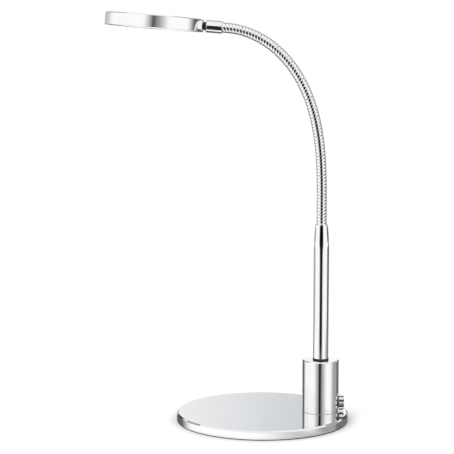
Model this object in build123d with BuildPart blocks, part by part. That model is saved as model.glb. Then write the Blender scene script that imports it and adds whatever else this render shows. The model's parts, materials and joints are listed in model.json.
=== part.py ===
from build123d import *

import os
from math import cos, pi, radians, sin, sqrt, tan

# Table lamp: a round weighted base, a column with a rotary dimmer, a stem, a wound gooseneck
# and a flat LED head. The origin is the middle of the base's underside, on the table. +Z is up,
# the head reaches out towards -X and the dimmer knob faces +X. All sizes are millimetres.

os.makedirs("parts", exist_ok=True)

# Base: a pressed cover over a ballast disc, on a soft pad
base_diameter = 170.0
cover_wall = 1.5
cover_lift = 0.8
cover_edge = 1.4
weight_thickness = 5.9
weight_clearance = 0.4
pad_thickness = 1.6
pad_clearance = 0.8

# Column, held to the base by screws from below
column_inset = 9.0
column_diameter = 36.0
column_wall = 1.6
column_height = 52.0
column_roof = 2.4
column_edge = 0.8
column_foot_edge = 0.3
foot_thickness = 3.6
foot_bore = 14.0
foot_screw_count = 3
foot_screw_circle = 23.0
foot_screw_angle = 180.0
screw_diameter = 4.0
screw_clearance = 0.2
screw_head_diameter = 7.6
screw_head_height = 1.8
screw_tip_gap = 0.5

# Cord bush in the base's rear rim
bush_diameter = 5.4
bush_bore = 3.8
bush_length = 9.0
bush_clearance = 0.1
cord_feed_diameter = 8.0

# Rotary dimmer at the column's foot
knob_height = 8.6
knob_diameter = 15.6
knob_length = 4.8
knob_standoff = 0.3
knob_wall = 1.9
knob_recess_depth = 2.4
knob_edge = 0.5
knob_flute_count = 8
knob_flute_diameter = 5.0
knob_flute_depth = 1.3
knob_pointer_length = 4.0
knob_pointer_width = 0.9
knob_pointer_depth = 0.4
shaft_diameter = 6.0
shaft_clearance = 0.05
shaft_seat = 1.6
bushing_diameter = 7.0
bushing_clearance = 0.1
bushing_spare = 0.2
shoulder_diameter = 9.4
shoulder_length = 1.6
shoulder_clearance = 0.1
pot_width = 9.8
pot_height = 9.6
pot_depth = 5.4
pot_edge = 0.6
pot_nut_flats = 9.6
pot_nut_thickness = 1.9
dimmer_board_width = 18.0
dimmer_board_height = 27.0
dimmer_board_thickness = 1.4
terminal_width = 9.0
terminal_height = 8.0
terminal_overhang = 4.0
terminal_edge = 0.5

# Stem, clamped to the column's roof by a hollow threaded nipple
gasket_diameter = 15.8
gasket_thickness = 1.2
nipple_diameter = 10.0
nipple_bore = 6.5
nipple_engagement = 14.0
nipple_spare = 1.0
nipple_clearance = 0.2
nipple_nut_flats = 14.0
nipple_nut_thickness = 3.0
washer_diameter = 18.0
washer_thickness = 1.0
stem_diameter = 15.0
stem_length = 134.4
stem_bore = 11.0
stem_thread_depth = 16.0
stem_taper_length = 26.0
stem_mouth_diameter = 12.0
stem_mouth_edge = 0.8
stem_foot_edge = 0.4

# Gooseneck: a wound tube, split into short links so that it can be bent
neck_diameter = 10.0
neck_bore = 5.0
rib_pitch = 3.2
rib_crest = 1.8
groove_depth = 0.8
ribs_per_link = 3
link_count = 25
link_gap = 0.75
neck_sides = 16
bend_start = 16.0
bend_end_radius = 72.0
tail_diameter = 8.6
tail_length = 9.0

# Ferrule and swivel between the neck and the head
ferrule_diameter = 12.0
ferrule_length = 16.0
ferrule_edge = 0.6
swivel_gap = 2.2
collar_diameter = 8.0
collar_clearance = 0.15
spigot_seat_diameter = 7.0
spigot_seat_length = 6.0
spigot_bore = 3.2
journal_diameter = 5.4
journal_clearance = 0.05
journal_tip = 1.2
clip_diameter = 7.0
clip_thickness = 0.6
clip_groove_diameter = 4.6
clip_clearance = 0.05
wave_washer_thickness = 0.5
wave_washer_clearance = 0.1

# Head: a turned shell with an LED board and a flat diffuser
head_diameter = 96.0
head_thickness = 12.0
head_wall = 1.6
head_roof = 1.5
head_edge = 0.8
head_lip_edge = 0.3
rim_hole_clearance = 0.2
ledge_width = 0.8
diffuser_thickness = 1.6
diffuser_clearance = 0.2
bezel_width = 2.4
bezel_thickness = 0.6
bezel_recess = 0.2
block_length = 9.0
block_width = 12.0
block_wall = 0.7
led_board_diameter = 76.0
led_board_thickness = 1.6
led_board_notch_width = 13.0
led_size = 3.0
led_height = 0.7
led_rings = ((13.0, 8), (28.0, 16))
board_screw_count = 3
board_screw_diameter = 2.5
board_screw_grip = 1.0
board_screw_head_diameter = 4.6
board_screw_head_height = 1.5
board_screw_inset = 4.0
board_screw_angle = 180.0
lead_terminal_length = 6.0
lead_terminal_width = 7.0
lead_terminal_drop = 1.8
lead_terminal_gap = 5.0

# Lead from the dimmer to the LED board
lead_diameter = 2.6
lead_first_corner = 4
lead_corner_step = 2
lead_arc_share = 0.45

# Angles and shapes that several pieces share
full_turn = 360.0
nut_sides = 6

# Heights of the base and the column
base_radius = base_diameter / 2
cover_inner_radius = base_radius - cover_wall
cover_ceiling = pad_thickness + weight_thickness
base_top = cover_ceiling + cover_wall
column_radius = column_diameter / 2
column_inner_radius = column_radius - column_wall
column_offset = base_radius - column_inset - column_radius
column_top = base_top + column_height
column_ceiling = column_top - column_roof
foot_top = base_top + foot_thickness
column_axis = (column_offset, 0)
foot_screw_radius = foot_screw_circle / 2
bush_height = pad_thickness + weight_thickness / 2

# Places along the dimmer's axis, which points to +X
knob_axis_height = base_top + knob_height
column_back = column_offset + column_radius
shoulder_radius = shoulder_diameter / 2
shoulder_reach = sqrt(column_inner_radius**2 - shoulder_radius**2) - shoulder_clearance
shoulder_front = column_offset + shoulder_reach
pot_front = shoulder_front - shoulder_length
pot_back = pot_front - pot_depth
board_back = pot_back - dimmer_board_thickness
board_bottom = foot_top
terminal_top = board_bottom + dimmer_board_height
bushing_tip = column_back + pot_nut_thickness + bushing_spare
knob_back = column_back + knob_standoff
knob_radius = knob_diameter / 2
knob_recess_floor = knob_back + knob_recess_depth
knob_flute_radius = knob_flute_diameter / 2
knob_flute_step = full_turn / knob_flute_count
knob_flute_circle = knob_radius - knob_flute_depth + knob_flute_radius
knob_pointer_tip = knob_radius - knob_flute_depth - knob_edge
shaft_tip = knob_recess_floor + shaft_seat
dimmer_plane = Plane(origin=(0, 0, knob_axis_height), x_dir=(0, 1, 0), z_dir=(1, 0, 0))

# Heights of the stem
stem_foot = column_top + gasket_thickness
stem_top = stem_foot + stem_length
nipple_top = stem_foot + nipple_engagement
nipple_foot = column_ceiling - washer_thickness - nipple_nut_thickness - nipple_spare

# Planes square to the neck at the foot of each link.
# The bend grows evenly from bend_start to the neck's end.
link_length = ribs_per_link * rib_pitch
neck_length = link_count * link_length
valley_radius = neck_diameter / 2 - groove_depth


def joint_bend(index):
    """Angle in radians between link index and the one before it, at rest."""
    run = max(index * link_length - bend_start, 0)
    return link_length * run / (neck_length - bend_start) / bend_end_radius


def leaning_plane(origin, lean):
    """Plane square to a direction that leans from +Z towards -X by lean radians."""
    return Plane(origin=origin, x_dir=(0, 1, 0), z_dir=(-sin(lean), 0, cos(lean)))


link_leans = [sum(joint_bend(step) for step in range(1, index + 1)) for index in range(link_count)]
link_planes = []
link_foot = Vector(column_offset, 0, stem_top)
for link_lean in link_leans:
    link_planes.append(leaning_plane(link_foot, link_lean))
    link_foot = link_foot + link_planes[-1].z_dir * link_length

# Places along the ferrule's axis, measured from the neck's end
ferrule_plane = leaning_plane(link_foot, link_leans[-1])
swivel_plane = ferrule_plane.offset(ferrule_length)
rim_distance = ferrule_length + swivel_gap
head_radius = head_diameter / 2
head_inner_radius = head_radius - head_wall
block_end = rim_distance + head_wall + block_length
washer_start = block_end + wave_washer_clearance
clip_start = washer_start + wave_washer_thickness + clip_clearance
journal_end = clip_start + clip_thickness + journal_tip

# Head's own plane, through its middle: x points back to the ferrule and z up through the roof
head_centre = ferrule_plane.origin + ferrule_plane.z_dir * (rim_distance + head_radius)
head_up = Vector(0, 1, 0).cross(ferrule_plane.z_dir)
head_plane = Plane(origin=head_centre, x_dir=-ferrule_plane.z_dir, z_dir=head_up)
head_top = head_thickness / 2
head_ceiling = head_top - head_roof
head_lip = -head_thickness / 2
bezel_foot = head_lip + bezel_recess
diffuser_foot = bezel_foot + bezel_thickness
ledge_height = diffuser_foot + diffuser_thickness
cavity_radius = head_inner_radius - ledge_width
led_board_foot = head_ceiling - led_board_thickness
block_foot = -journal_diameter / 2 - block_wall
lead_terminal_start = journal_end + lead_terminal_gap
lead_terminal_middle = rim_distance + head_radius - lead_terminal_start - lead_terminal_length / 2
notch_inner = rim_distance + head_radius - journal_end - journal_tip
board_screw_radius = led_board_diameter / 2 - board_screw_inset


# Base cover: a shallow dish with holes for the screws, the cord and the bush
with BuildPart() as base_cover:
    with BuildSketch(Plane.XY.offset(cover_lift)):
        Circle(base_radius)
    extrude(amount=base_top - cover_lift)
    chamfer(base_cover.faces().sort_by(Axis.Z)[-1].edges(), cover_edge)
    with BuildSketch(Plane.XY.offset(cover_lift)):
        Circle(cover_inner_radius)
    extrude(amount=cover_ceiling - cover_lift, mode=Mode.SUBTRACT)
    with BuildSketch(Plane.XY.offset(cover_ceiling)):
        with Locations(column_axis):
            Circle(cord_feed_diameter / 2)
            with PolarLocations(foot_screw_radius, foot_screw_count, foot_screw_angle):
                Circle(screw_diameter / 2 + screw_clearance)
    extrude(amount=cover_wall, mode=Mode.SUBTRACT)
    with BuildSketch(Plane.YZ.offset(base_radius - bush_length)):
        with Locations((0, bush_height)):
            Circle(bush_diameter / 2)
    extrude(amount=bush_length, mode=Mode.SUBTRACT)
base_cover.part.label = "base_cover"
export_step(base_cover.part, "parts/base_cover.step")

# Ballast disc: countersunk for the screws, slotted for the cord
with BuildPart() as base_weight:
    with BuildSketch(Plane.XY.offset(pad_thickness)):
        Circle(cover_inner_radius - weight_clearance)
        with Locations(column_axis):
            Circle(cord_feed_diameter / 2, mode=Mode.SUBTRACT)
            with PolarLocations(foot_screw_radius, foot_screw_count, foot_screw_angle):
                Circle(screw_diameter / 2 + screw_clearance, mode=Mode.SUBTRACT)
        with Locations((column_offset, 0)):
            Rectangle(
                base_radius,
                bush_diameter + 2 * bush_clearance,
                align=(Align.MIN, Align.CENTER),
                mode=Mode.SUBTRACT,
            )
    extrude(amount=weight_thickness)
    with BuildSketch(Plane.XY.offset(pad_thickness)):
        with Locations(column_axis):
            with PolarLocations(foot_screw_radius, foot_screw_count, foot_screw_angle):
                Circle(screw_head_diameter / 2 + screw_clearance)
    extrude(amount=screw_head_height + screw_clearance, mode=Mode.SUBTRACT)
base_weight.part.label = "base_weight"
export_step(base_weight.part, "parts/base_weight.step")

# Soft pad that the lamp stands on
with BuildPart() as base_pad:
    with BuildSketch():
        Circle(cover_inner_radius - pad_clearance)
    extrude(amount=pad_thickness)
base_pad.part.label = "base_pad"
export_step(base_pad.part, "parts/base_pad.step")

# Screws from the ballast disc up into the column's foot
with BuildPart() as base_screws:
    screw_seat = pad_thickness + screw_clearance
    with BuildSketch(Plane.XY.offset(screw_seat)):
        with Locations(column_axis):
            with PolarLocations(foot_screw_radius, foot_screw_count, foot_screw_angle):
                Circle(screw_head_diameter / 2)
    extrude(amount=screw_head_height)
    with BuildSketch(Plane.XY.offset(screw_seat)):
        with Locations(column_axis):
            with PolarLocations(foot_screw_radius, foot_screw_count, foot_screw_angle):
                Circle(screw_diameter / 2)
    extrude(amount=foot_top - screw_tip_gap - screw_seat)
base_screws.part.label = "base_screws"
export_step(base_screws.part, "parts/base_screws.step")

# Rubber bush that the supply cord comes in through
with BuildPart() as cord_bush:
    with BuildSketch(Plane.YZ.offset(base_radius - bush_length)):
        with Locations((0, bush_height)):
            Circle(bush_diameter / 2)
            Circle(bush_bore / 2, mode=Mode.SUBTRACT)
    extrude(amount=bush_length)
cord_bush.part.label = "cord_bush"
export_step(cord_bush.part, "parts/cord_bush.step")

# Foot ring inside the column, tapped for the screws
with BuildPart() as column_foot:
    with BuildSketch(Plane.XY.offset(base_top)):
        with Locations(column_axis):
            Circle(column_inner_radius)
            Circle(foot_bore / 2, mode=Mode.SUBTRACT)
            with PolarLocations(foot_screw_radius, foot_screw_count, foot_screw_angle):
                Circle(screw_diameter / 2, mode=Mode.SUBTRACT)
    extrude(amount=foot_thickness)
column_foot.part.label = "column_foot"
export_step(column_foot.part, "parts/column_foot.step")

# Column: a cup, open at the foot, with holes for the nipple and the dimmer's bushing
with BuildPart() as column_shell:
    with BuildSketch(Plane.XY.offset(base_top)):
        with Locations(column_axis):
            Circle(column_radius)
    extrude(amount=column_height)
    chamfer(column_shell.faces().sort_by(Axis.Z)[-1].edges(), column_edge)
    chamfer(column_shell.faces().sort_by(Axis.Z)[0].edges(), column_foot_edge)
    with BuildSketch(Plane.XY.offset(base_top)):
        with Locations(column_axis):
            Circle(column_inner_radius)
    extrude(amount=column_height - column_roof, mode=Mode.SUBTRACT)
    with BuildSketch(Plane.XY.offset(column_ceiling)):
        with Locations(column_axis):
            Circle(nipple_diameter / 2 + nipple_clearance)
    extrude(amount=column_roof, mode=Mode.SUBTRACT)
    with BuildSketch(dimmer_plane.offset(column_offset)):
        Circle(bushing_diameter / 2 + bushing_clearance)
    extrude(amount=column_radius, mode=Mode.SUBTRACT)
column_shell.part.label = "column_shell"
export_step(column_shell.part, "parts/column_shell.step")

# Dimmer potentiometer: a box with a shoulder against the column's wall and a bushing through it
with BuildPart() as dimmer_pot:
    with BuildSketch(dimmer_plane.offset(pot_back)):
        RectangleRounded(pot_width, pot_height, pot_edge)
    extrude(amount=pot_depth)
    with BuildSketch(dimmer_plane.offset(pot_front)):
        Circle(shoulder_radius)
    extrude(amount=shoulder_length)
    with BuildSketch(dimmer_plane.offset(shoulder_front)):
        Circle(bushing_diameter / 2)
    extrude(amount=bushing_tip - shoulder_front)
    with BuildSketch(dimmer_plane.offset(pot_front)):
        Circle(shaft_diameter / 2 + shaft_clearance)
    extrude(amount=bushing_tip - pot_front, mode=Mode.SUBTRACT)
dimmer_pot.part.label = "dimmer_pot"
export_step(dimmer_pot.part, "parts/dimmer_pot.step")

# Nut that holds the dimmer to the column, hidden in the knob's recess
with BuildPart() as pot_nut:
    with BuildSketch(dimmer_plane.offset(column_back)):
        RegularPolygon(pot_nut_flats / 2, nut_sides, major_radius=False)
        Circle(bushing_diameter / 2, mode=Mode.SUBTRACT)
    extrude(amount=pot_nut_thickness)
pot_nut.part.label = "pot_nut"
export_step(pot_nut.part, "parts/pot_nut.step")

# Dimmer's circuit board, upright on the column's foot behind the potentiometer
with BuildPart() as dimmer_board:
    with BuildSketch(Plane.YZ.offset(board_back)):
        with Locations((0, board_bottom)):
            Rectangle(dimmer_board_width, dimmer_board_height, align=(Align.CENTER, Align.MIN))
    extrude(amount=dimmer_board_thickness)
dimmer_board.part.label = "dimmer_board"
export_step(dimmer_board.part, "parts/dimmer_board.step")

# Terminal block on the board, over the column's axis, where the lead starts
with BuildPart() as board_terminal:
    with BuildSketch(Plane.XY.offset(terminal_top - terminal_height)):
        with Locations((board_back, 0)):
            Rectangle(
                board_back - column_offset + terminal_overhang,
                terminal_width,
                align=(Align.MAX, Align.CENTER),
            )
    extrude(amount=terminal_height)
    chamfer(board_terminal.edges().filter_by(Axis.Z).group_by(Axis.X)[0], terminal_edge)
board_terminal.part.label = "board_terminal"
export_step(board_terminal.part, "parts/board_terminal.step")

# Dimmer shaft, which turns in the bushing
with BuildPart() as dimmer_shaft:
    with BuildSketch(dimmer_plane.offset(pot_front)):
        Circle(shaft_diameter / 2)
    extrude(amount=shaft_tip - pot_front)
dimmer_shaft.part.label = "dimmer_shaft"
export_step(dimmer_shaft.part, "parts/dimmer_shaft.step")

# Fluted knob: recessed behind over the nut, with a blind bore for the shaft and a pointer groove
with BuildPart() as dimmer_knob:
    with BuildSketch(dimmer_plane.offset(knob_back)):
        Circle(knob_radius)
    extrude(amount=knob_length)
    chamfer(dimmer_knob.faces().sort_by(Axis.X)[-1].edges(), knob_edge)
    with BuildSketch(dimmer_plane.offset(knob_back)):
        with PolarLocations(knob_flute_circle, knob_flute_count, knob_flute_step / 2):
            Circle(knob_flute_radius)
    extrude(amount=knob_length, mode=Mode.SUBTRACT)
    with BuildSketch(dimmer_plane.offset(knob_back)):
        Circle(knob_radius - knob_wall)
    extrude(amount=knob_recess_depth, mode=Mode.SUBTRACT)
    with BuildSketch(dimmer_plane.offset(knob_recess_floor)):
        Circle(shaft_diameter / 2)
    extrude(amount=shaft_seat, mode=Mode.SUBTRACT)
    with BuildSketch(dimmer_plane.offset(knob_back + knob_length - knob_pointer_depth)):
        with Locations((0, knob_pointer_tip)):
            Rectangle(knob_pointer_width, knob_pointer_length, align=(Align.CENTER, Align.MAX))
    extrude(amount=knob_pointer_depth, mode=Mode.SUBTRACT)
dimmer_knob.part.label = "dimmer_knob"
export_step(dimmer_knob.part, "parts/dimmer_knob.step")

# Hollow nipple through the column's roof into the stem
with BuildPart() as stem_nipple:
    with BuildSketch(Plane.XY.offset(nipple_foot)):
        with Locations(column_axis):
            Circle(nipple_diameter / 2)
            Circle(nipple_bore / 2, mode=Mode.SUBTRACT)
    extrude(amount=nipple_top - nipple_foot)
stem_nipple.part.label = "stem_nipple"
export_step(stem_nipple.part, "parts/stem_nipple.step")

# Washer and nut under the column's roof
with BuildPart() as nipple_washer:
    with BuildSketch(Plane.XY.offset(column_ceiling - washer_thickness)):
        with Locations(column_axis):
            Circle(washer_diameter / 2)
            Circle(nipple_diameter / 2 + nipple_clearance, mode=Mode.SUBTRACT)
    extrude(amount=washer_thickness)
nipple_washer.part.label = "nipple_washer"
export_step(nipple_washer.part, "parts/nipple_washer.step")

with BuildPart() as nipple_nut:
    with BuildSketch(Plane.XY.offset(column_ceiling - washer_thickness - nipple_nut_thickness)):
        with Locations(column_axis):
            RegularPolygon(nipple_nut_flats / 2, nut_sides, major_radius=False)
            Circle(nipple_diameter / 2, mode=Mode.SUBTRACT)
    extrude(amount=nipple_nut_thickness)
nipple_nut.part.label = "nipple_nut"
export_step(nipple_nut.part, "parts/nipple_nut.step")

# Dark gasket between the column and the stem
with BuildPart() as stem_gasket:
    with BuildSketch(Plane.XY.offset(column_top)):
        with Locations(column_axis):
            Circle(gasket_diameter / 2)
            Circle(nipple_diameter / 2 + nipple_clearance, mode=Mode.SUBTRACT)
    extrude(amount=gasket_thickness)
stem_gasket.part.label = "stem_gasket"
export_step(stem_gasket.part, "parts/stem_gasket.step")

# Stem: a turned tube, tapped at the foot, drawn in over its top to a socket for the neck
with BuildPart() as stem_tube:
    with BuildSketch(Plane.XZ):
        with BuildLine():
            stem_side = column_offset + stem_diameter / 2
            stem_mouth = column_offset + stem_mouth_diameter / 2
            Polyline(
                (column_offset, stem_foot),
                (stem_side - stem_foot_edge, stem_foot),
                (stem_side, stem_foot + stem_foot_edge),
                (stem_side, stem_top - stem_taper_length),
            )
            TangentArc(
                (stem_side, stem_top - stem_taper_length),
                (stem_mouth, stem_top - stem_mouth_edge),
                tangent=(0, 1),
            )
            Polyline(
                (stem_mouth, stem_top - stem_mouth_edge),
                (stem_mouth - stem_mouth_edge, stem_top),
                (column_offset, stem_top),
                (column_offset, stem_foot),
            )
        make_face()
    revolve(axis=Axis((column_offset, 0, 0), (0, 0, 1)))
    with BuildSketch(Plane.XY.offset(stem_foot)):
        with Locations(column_axis):
            Circle(nipple_diameter / 2)
    extrude(amount=stem_thread_depth, mode=Mode.SUBTRACT)
    with BuildSketch(Plane.XY.offset(stem_foot + stem_thread_depth)):
        with Locations(column_axis):
            Circle(stem_bore / 2)
    extrude(amount=stem_length - stem_thread_depth - stem_taper_length, mode=Mode.SUBTRACT)
    with BuildSketch(Plane.XY.offset(stem_top - stem_taper_length)):
        with Locations(column_axis):
            Circle(tail_diameter / 2)
    extrude(amount=stem_taper_length, mode=Mode.SUBTRACT)
stem_tube.part.label = "stem_tube"
export_step(stem_tube.part, "parts/stem_tube.step")

# Gooseneck links: ribbed tubes, cut off on the planes that halve the bend between neighbours.
# The first has a tail in the stem and the last has one in the ferrule.
for index, link_plane in enumerate(link_planes):
    link_is_first = index == 0
    link_is_last = index == link_count - 1
    with BuildPart() as neck_link:
        rib_slope = (rib_pitch - rib_crest) / 2
        for rib in range(ribs_per_link):
            for height, radius in (
                (0, valley_radius),
                (rib_slope, neck_diameter / 2),
                (rib_pitch - rib_slope, neck_diameter / 2),
            ):
                with BuildSketch(link_plane.offset(rib * rib_pitch + height)):
                    RegularPolygon(radius, neck_sides)
        with BuildSketch(link_plane.offset(link_length)):
            RegularPolygon(valley_radius, neck_sides)
        loft(ruled=True)
        if link_is_first:
            with BuildSketch(link_plane.offset(-tail_length)):
                Circle(tail_diameter / 2)
            extrude(amount=tail_length)
        else:
            lower_cut = leaning_plane(link_plane.origin, (link_leans[index] + link_leans[index - 1]) / 2)
            split(bisect_by=lower_cut.offset(link_gap / 2), keep=Keep.TOP)
        if link_is_last:
            with BuildSketch(link_plane.offset(link_length)):
                Circle(tail_diameter / 2)
            extrude(amount=tail_length)
        else:
            next_plane = link_planes[index + 1]
            upper_cut = leaning_plane(next_plane.origin, (link_leans[index] + link_leans[index + 1]) / 2)
            split(bisect_by=upper_cut.offset(-link_gap / 2), keep=Keep.BOTTOM)
        with BuildSketch(link_plane.offset(-tail_length)):
            RegularPolygon(neck_bore / 2, neck_sides)
        extrude(amount=link_length + 2 * tail_length, mode=Mode.SUBTRACT)
    link_name = f"neck_{index + 1:02d}"
    neck_link.part.label = link_name
    export_step(neck_link.part, f"parts/{link_name}.step")

# Ferrule over the neck's end
with BuildPart() as neck_ferrule:
    with BuildSketch(ferrule_plane):
        Circle(ferrule_diameter / 2)
    extrude(amount=ferrule_length)
    chamfer(neck_ferrule.edges().filter_by(GeomType.CIRCLE), ferrule_edge)
    with BuildSketch(ferrule_plane):
        Circle(tail_diameter / 2)
    extrude(amount=tail_length, mode=Mode.SUBTRACT)
    with BuildSketch(swivel_plane):
        Circle(spigot_seat_diameter / 2)
    extrude(amount=-spigot_seat_length, mode=Mode.SUBTRACT)
    with BuildSketch(ferrule_plane):
        Circle(spigot_bore / 2)
    extrude(amount=ferrule_length, mode=Mode.SUBTRACT)
neck_ferrule.part.label = "neck_ferrule"
export_step(neck_ferrule.part, "parts/neck_ferrule.step")

# Hollow spigot: seated in the ferrule, with a collar in the open gap and a journal for the head
with BuildPart() as swivel_spigot:
    with BuildSketch(swivel_plane.offset(-spigot_seat_length)):
        Circle(spigot_seat_diameter / 2)
    extrude(amount=spigot_seat_length)
    with BuildSketch(swivel_plane):
        Circle(collar_diameter / 2)
    extrude(amount=swivel_gap - collar_clearance)
    with BuildSketch(swivel_plane):
        Circle(journal_diameter / 2)
    extrude(amount=journal_end - ferrule_length)
    with BuildSketch(ferrule_plane.offset(clip_start - clip_clearance)):
        Circle(journal_diameter / 2)
        Circle(clip_groove_diameter / 2, mode=Mode.SUBTRACT)
    extrude(amount=clip_thickness + 2 * clip_clearance, mode=Mode.SUBTRACT)
    with BuildSketch(ferrule_plane):
        Circle(spigot_bore / 2)
    extrude(amount=journal_end, mode=Mode.SUBTRACT)
swivel_spigot.part.label = "swivel_spigot"
export_step(swivel_spigot.part, "parts/swivel_spigot.step")

# Friction washer and retaining clip on the journal, inside the head
with BuildPart() as wave_washer:
    with BuildSketch(ferrule_plane.offset(washer_start)):
        Circle(clip_diameter / 2)
        Circle(journal_diameter / 2 + journal_clearance, mode=Mode.SUBTRACT)
    extrude(amount=wave_washer_thickness)
wave_washer.part.label = "wave_washer"
export_step(wave_washer.part, "parts/wave_washer.step")

with BuildPart() as retaining_clip:
    with BuildSketch(ferrule_plane.offset(clip_start)):
        Circle(clip_diameter / 2)
        Circle(clip_groove_diameter / 2, mode=Mode.SUBTRACT)
    extrude(amount=clip_thickness)
retaining_clip.part.label = "retaining_clip"
export_step(retaining_clip.part, "parts/retaining_clip.step")

# Head shell: a shallow turned cup, open below, with a ledge for the diffuser and a hole for the journal
with BuildPart() as head_shell:
    with BuildSketch(head_plane.offset(head_lip)):
        Circle(head_radius)
    extrude(amount=head_thickness)
    head_axis = Axis(head_plane.origin, head_plane.z_dir)
    chamfer(head_shell.faces().sort_by(head_axis)[-1].edges(), head_edge)
    chamfer(head_shell.faces().sort_by(head_axis)[0].edges(), head_lip_edge)
    with BuildSketch(head_plane.offset(head_lip)):
        Circle(head_inner_radius)
    extrude(amount=ledge_height - head_lip, mode=Mode.SUBTRACT)
    with BuildSketch(head_plane.offset(ledge_height)):
        Circle(cavity_radius)
    extrude(amount=head_ceiling - ledge_height, mode=Mode.SUBTRACT)
    with BuildSketch(ferrule_plane.offset(rim_distance)):
        Circle(journal_diameter / 2 + rim_hole_clearance)
    extrude(amount=block_length, mode=Mode.SUBTRACT)
    with BuildSketch(head_plane.offset(head_ceiling)):
        with PolarLocations(board_screw_radius, board_screw_count, board_screw_angle):
            Circle(board_screw_diameter / 2)
    extrude(amount=board_screw_grip, mode=Mode.SUBTRACT)
head_shell.part.label = "head_shell"
export_step(head_shell.part, "parts/head_shell.step")

# Bearing block under the head's roof, bored for the journal
with BuildPart() as swivel_block:
    with BuildSketch(head_plane.offset(block_foot)):
        with Locations((head_inner_radius - block_length, 0)):
            Rectangle(head_wall + block_length, block_width, align=(Align.MIN, Align.CENTER))
        Circle(cavity_radius, mode=Mode.INTERSECT)
    extrude(amount=head_ceiling - block_foot)
    with BuildSketch(ferrule_plane.offset(rim_distance)):
        Circle(journal_diameter / 2 + journal_clearance)
    extrude(amount=head_radius, mode=Mode.SUBTRACT)
swivel_block.part.label = "swivel_block"
export_step(swivel_block.part, "parts/swivel_block.step")

# LED board against the roof, notched round the bearing block
with BuildPart() as led_board:
    with BuildSketch(head_plane.offset(led_board_foot)):
        Circle(led_board_diameter / 2)
        with Locations((notch_inner, 0)):
            Rectangle(
                head_radius,
                led_board_notch_width,
                align=(Align.MIN, Align.CENTER),
                mode=Mode.SUBTRACT,
            )
        with PolarLocations(board_screw_radius, board_screw_count, board_screw_angle):
            Circle(board_screw_diameter / 2, mode=Mode.SUBTRACT)
    extrude(amount=led_board_thickness)
led_board.part.label = "led_board"
export_step(led_board.part, "parts/led_board.step")

# LED chips in rings under the board
with BuildPart() as led_chips:
    with BuildSketch(head_plane.offset(led_board_foot)):
        for ring_radius, ring_count in led_rings:
            ring_step = full_turn / ring_count
            with PolarLocations(ring_radius, ring_count, ring_step / 2):
                Rectangle(led_size, led_size)
    extrude(amount=-led_height)
led_chips.part.label = "led_chips"
export_step(led_chips.part, "parts/led_chips.step")

# Screws that hold the LED board to the roof
with BuildPart() as board_screws:
    with BuildSketch(head_plane.offset(led_board_foot)):
        with PolarLocations(board_screw_radius, board_screw_count, board_screw_angle):
            Circle(board_screw_head_diameter / 2)
    extrude(amount=-board_screw_head_height)
    with BuildSketch(head_plane.offset(led_board_foot)):
        with PolarLocations(board_screw_radius, board_screw_count, board_screw_angle):
            Circle(board_screw_diameter / 2)
    extrude(amount=led_board_thickness + board_screw_grip)
board_screws.part.label = "board_screws"
export_step(board_screws.part, "parts/board_screws.step")

# Terminal under the LED board, where the lead ends
with BuildPart() as lead_terminal:
    with BuildSketch(head_plane.offset(-lead_terminal_drop)):
        with Locations((lead_terminal_middle, 0)):
            Rectangle(lead_terminal_length, lead_terminal_width)
    extrude(amount=led_board_foot + lead_terminal_drop)
lead_terminal.part.label = "lead_terminal"
export_step(lead_terminal.part, "parts/lead_terminal.step")

# Opal diffuser under the ledge, and the ring that holds it in
with BuildPart() as diffuser:
    with BuildSketch(head_plane.offset(diffuser_foot)):
        Circle(head_inner_radius - diffuser_clearance)
    extrude(amount=diffuser_thickness)
diffuser.part.label = "diffuser"
export_step(diffuser.part, "parts/diffuser.step")

with BuildPart() as bezel_ring:
    with BuildSketch(head_plane.offset(bezel_foot)):
        Circle(head_inner_radius)
        Circle(head_inner_radius - bezel_width, mode=Mode.SUBTRACT)
    extrude(amount=bezel_thickness)
bezel_ring.part.label = "bezel_ring"
export_step(bezel_ring.part, "parts/bezel_ring.step")

# Lead from the dimmer's terminal up the stem, through the neck and the spigot to the LED board.
# It has a corner at every second joint of the neck, rounded by an arc over most of the shorter run.
lead_points = [Vector(column_offset, 0, terminal_top)]
lead_points += [plane.origin for plane in link_planes[lead_first_corner::lead_corner_step]]
lead_points.append(ferrule_plane.origin + ferrule_plane.z_dir * lead_terminal_start)
lead_radii = []
for before, corner, after in zip(lead_points, lead_points[1:], lead_points[2:]):
    shorter_run = min((corner - before).length, (after - corner).length)
    half_turn = radians((corner - before).get_angle(after - corner)) / 2
    lead_radii.append(lead_arc_share * shorter_run / tan(half_turn))
with BuildPart() as supply_lead:
    with BuildLine() as lead_path:
        FilletPolyline(*lead_points, radius=lead_radii)
    with BuildSketch(Plane(origin=lead_path.wire() @ 0, z_dir=lead_path.wire() % 0)):
        Circle(lead_diameter / 2)
    sweep(path=lead_path.wire())
supply_lead.part.label = "supply_lead"
export_step(supply_lead.part, "parts/supply_lead.step")

# The lead's radii at its corners, and how fully its sweep fills its own length
lead_section = pi * (lead_diameter / 2) ** 2
lead_fill = supply_lead.part.volume / (lead_section * lead_path.wire().length)
print("lead radii", [round(radius) for radius in lead_radii])
print("lead volume over section times length", round(lead_fill, 4))
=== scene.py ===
"""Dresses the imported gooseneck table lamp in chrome, wound wire, rubber and opal, and sets its stage."""

import json
from math import asin, atan2, cos, pi, prod, radians, sin, sqrt, tan, tau

import bmesh
import bpy
from bpy.props import FloatProperty, FloatVectorProperty, IntProperty, PointerProperty
from bpy.types import Operator, Panel, PropertyGroup
from mathutils import Matrix, Vector


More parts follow.
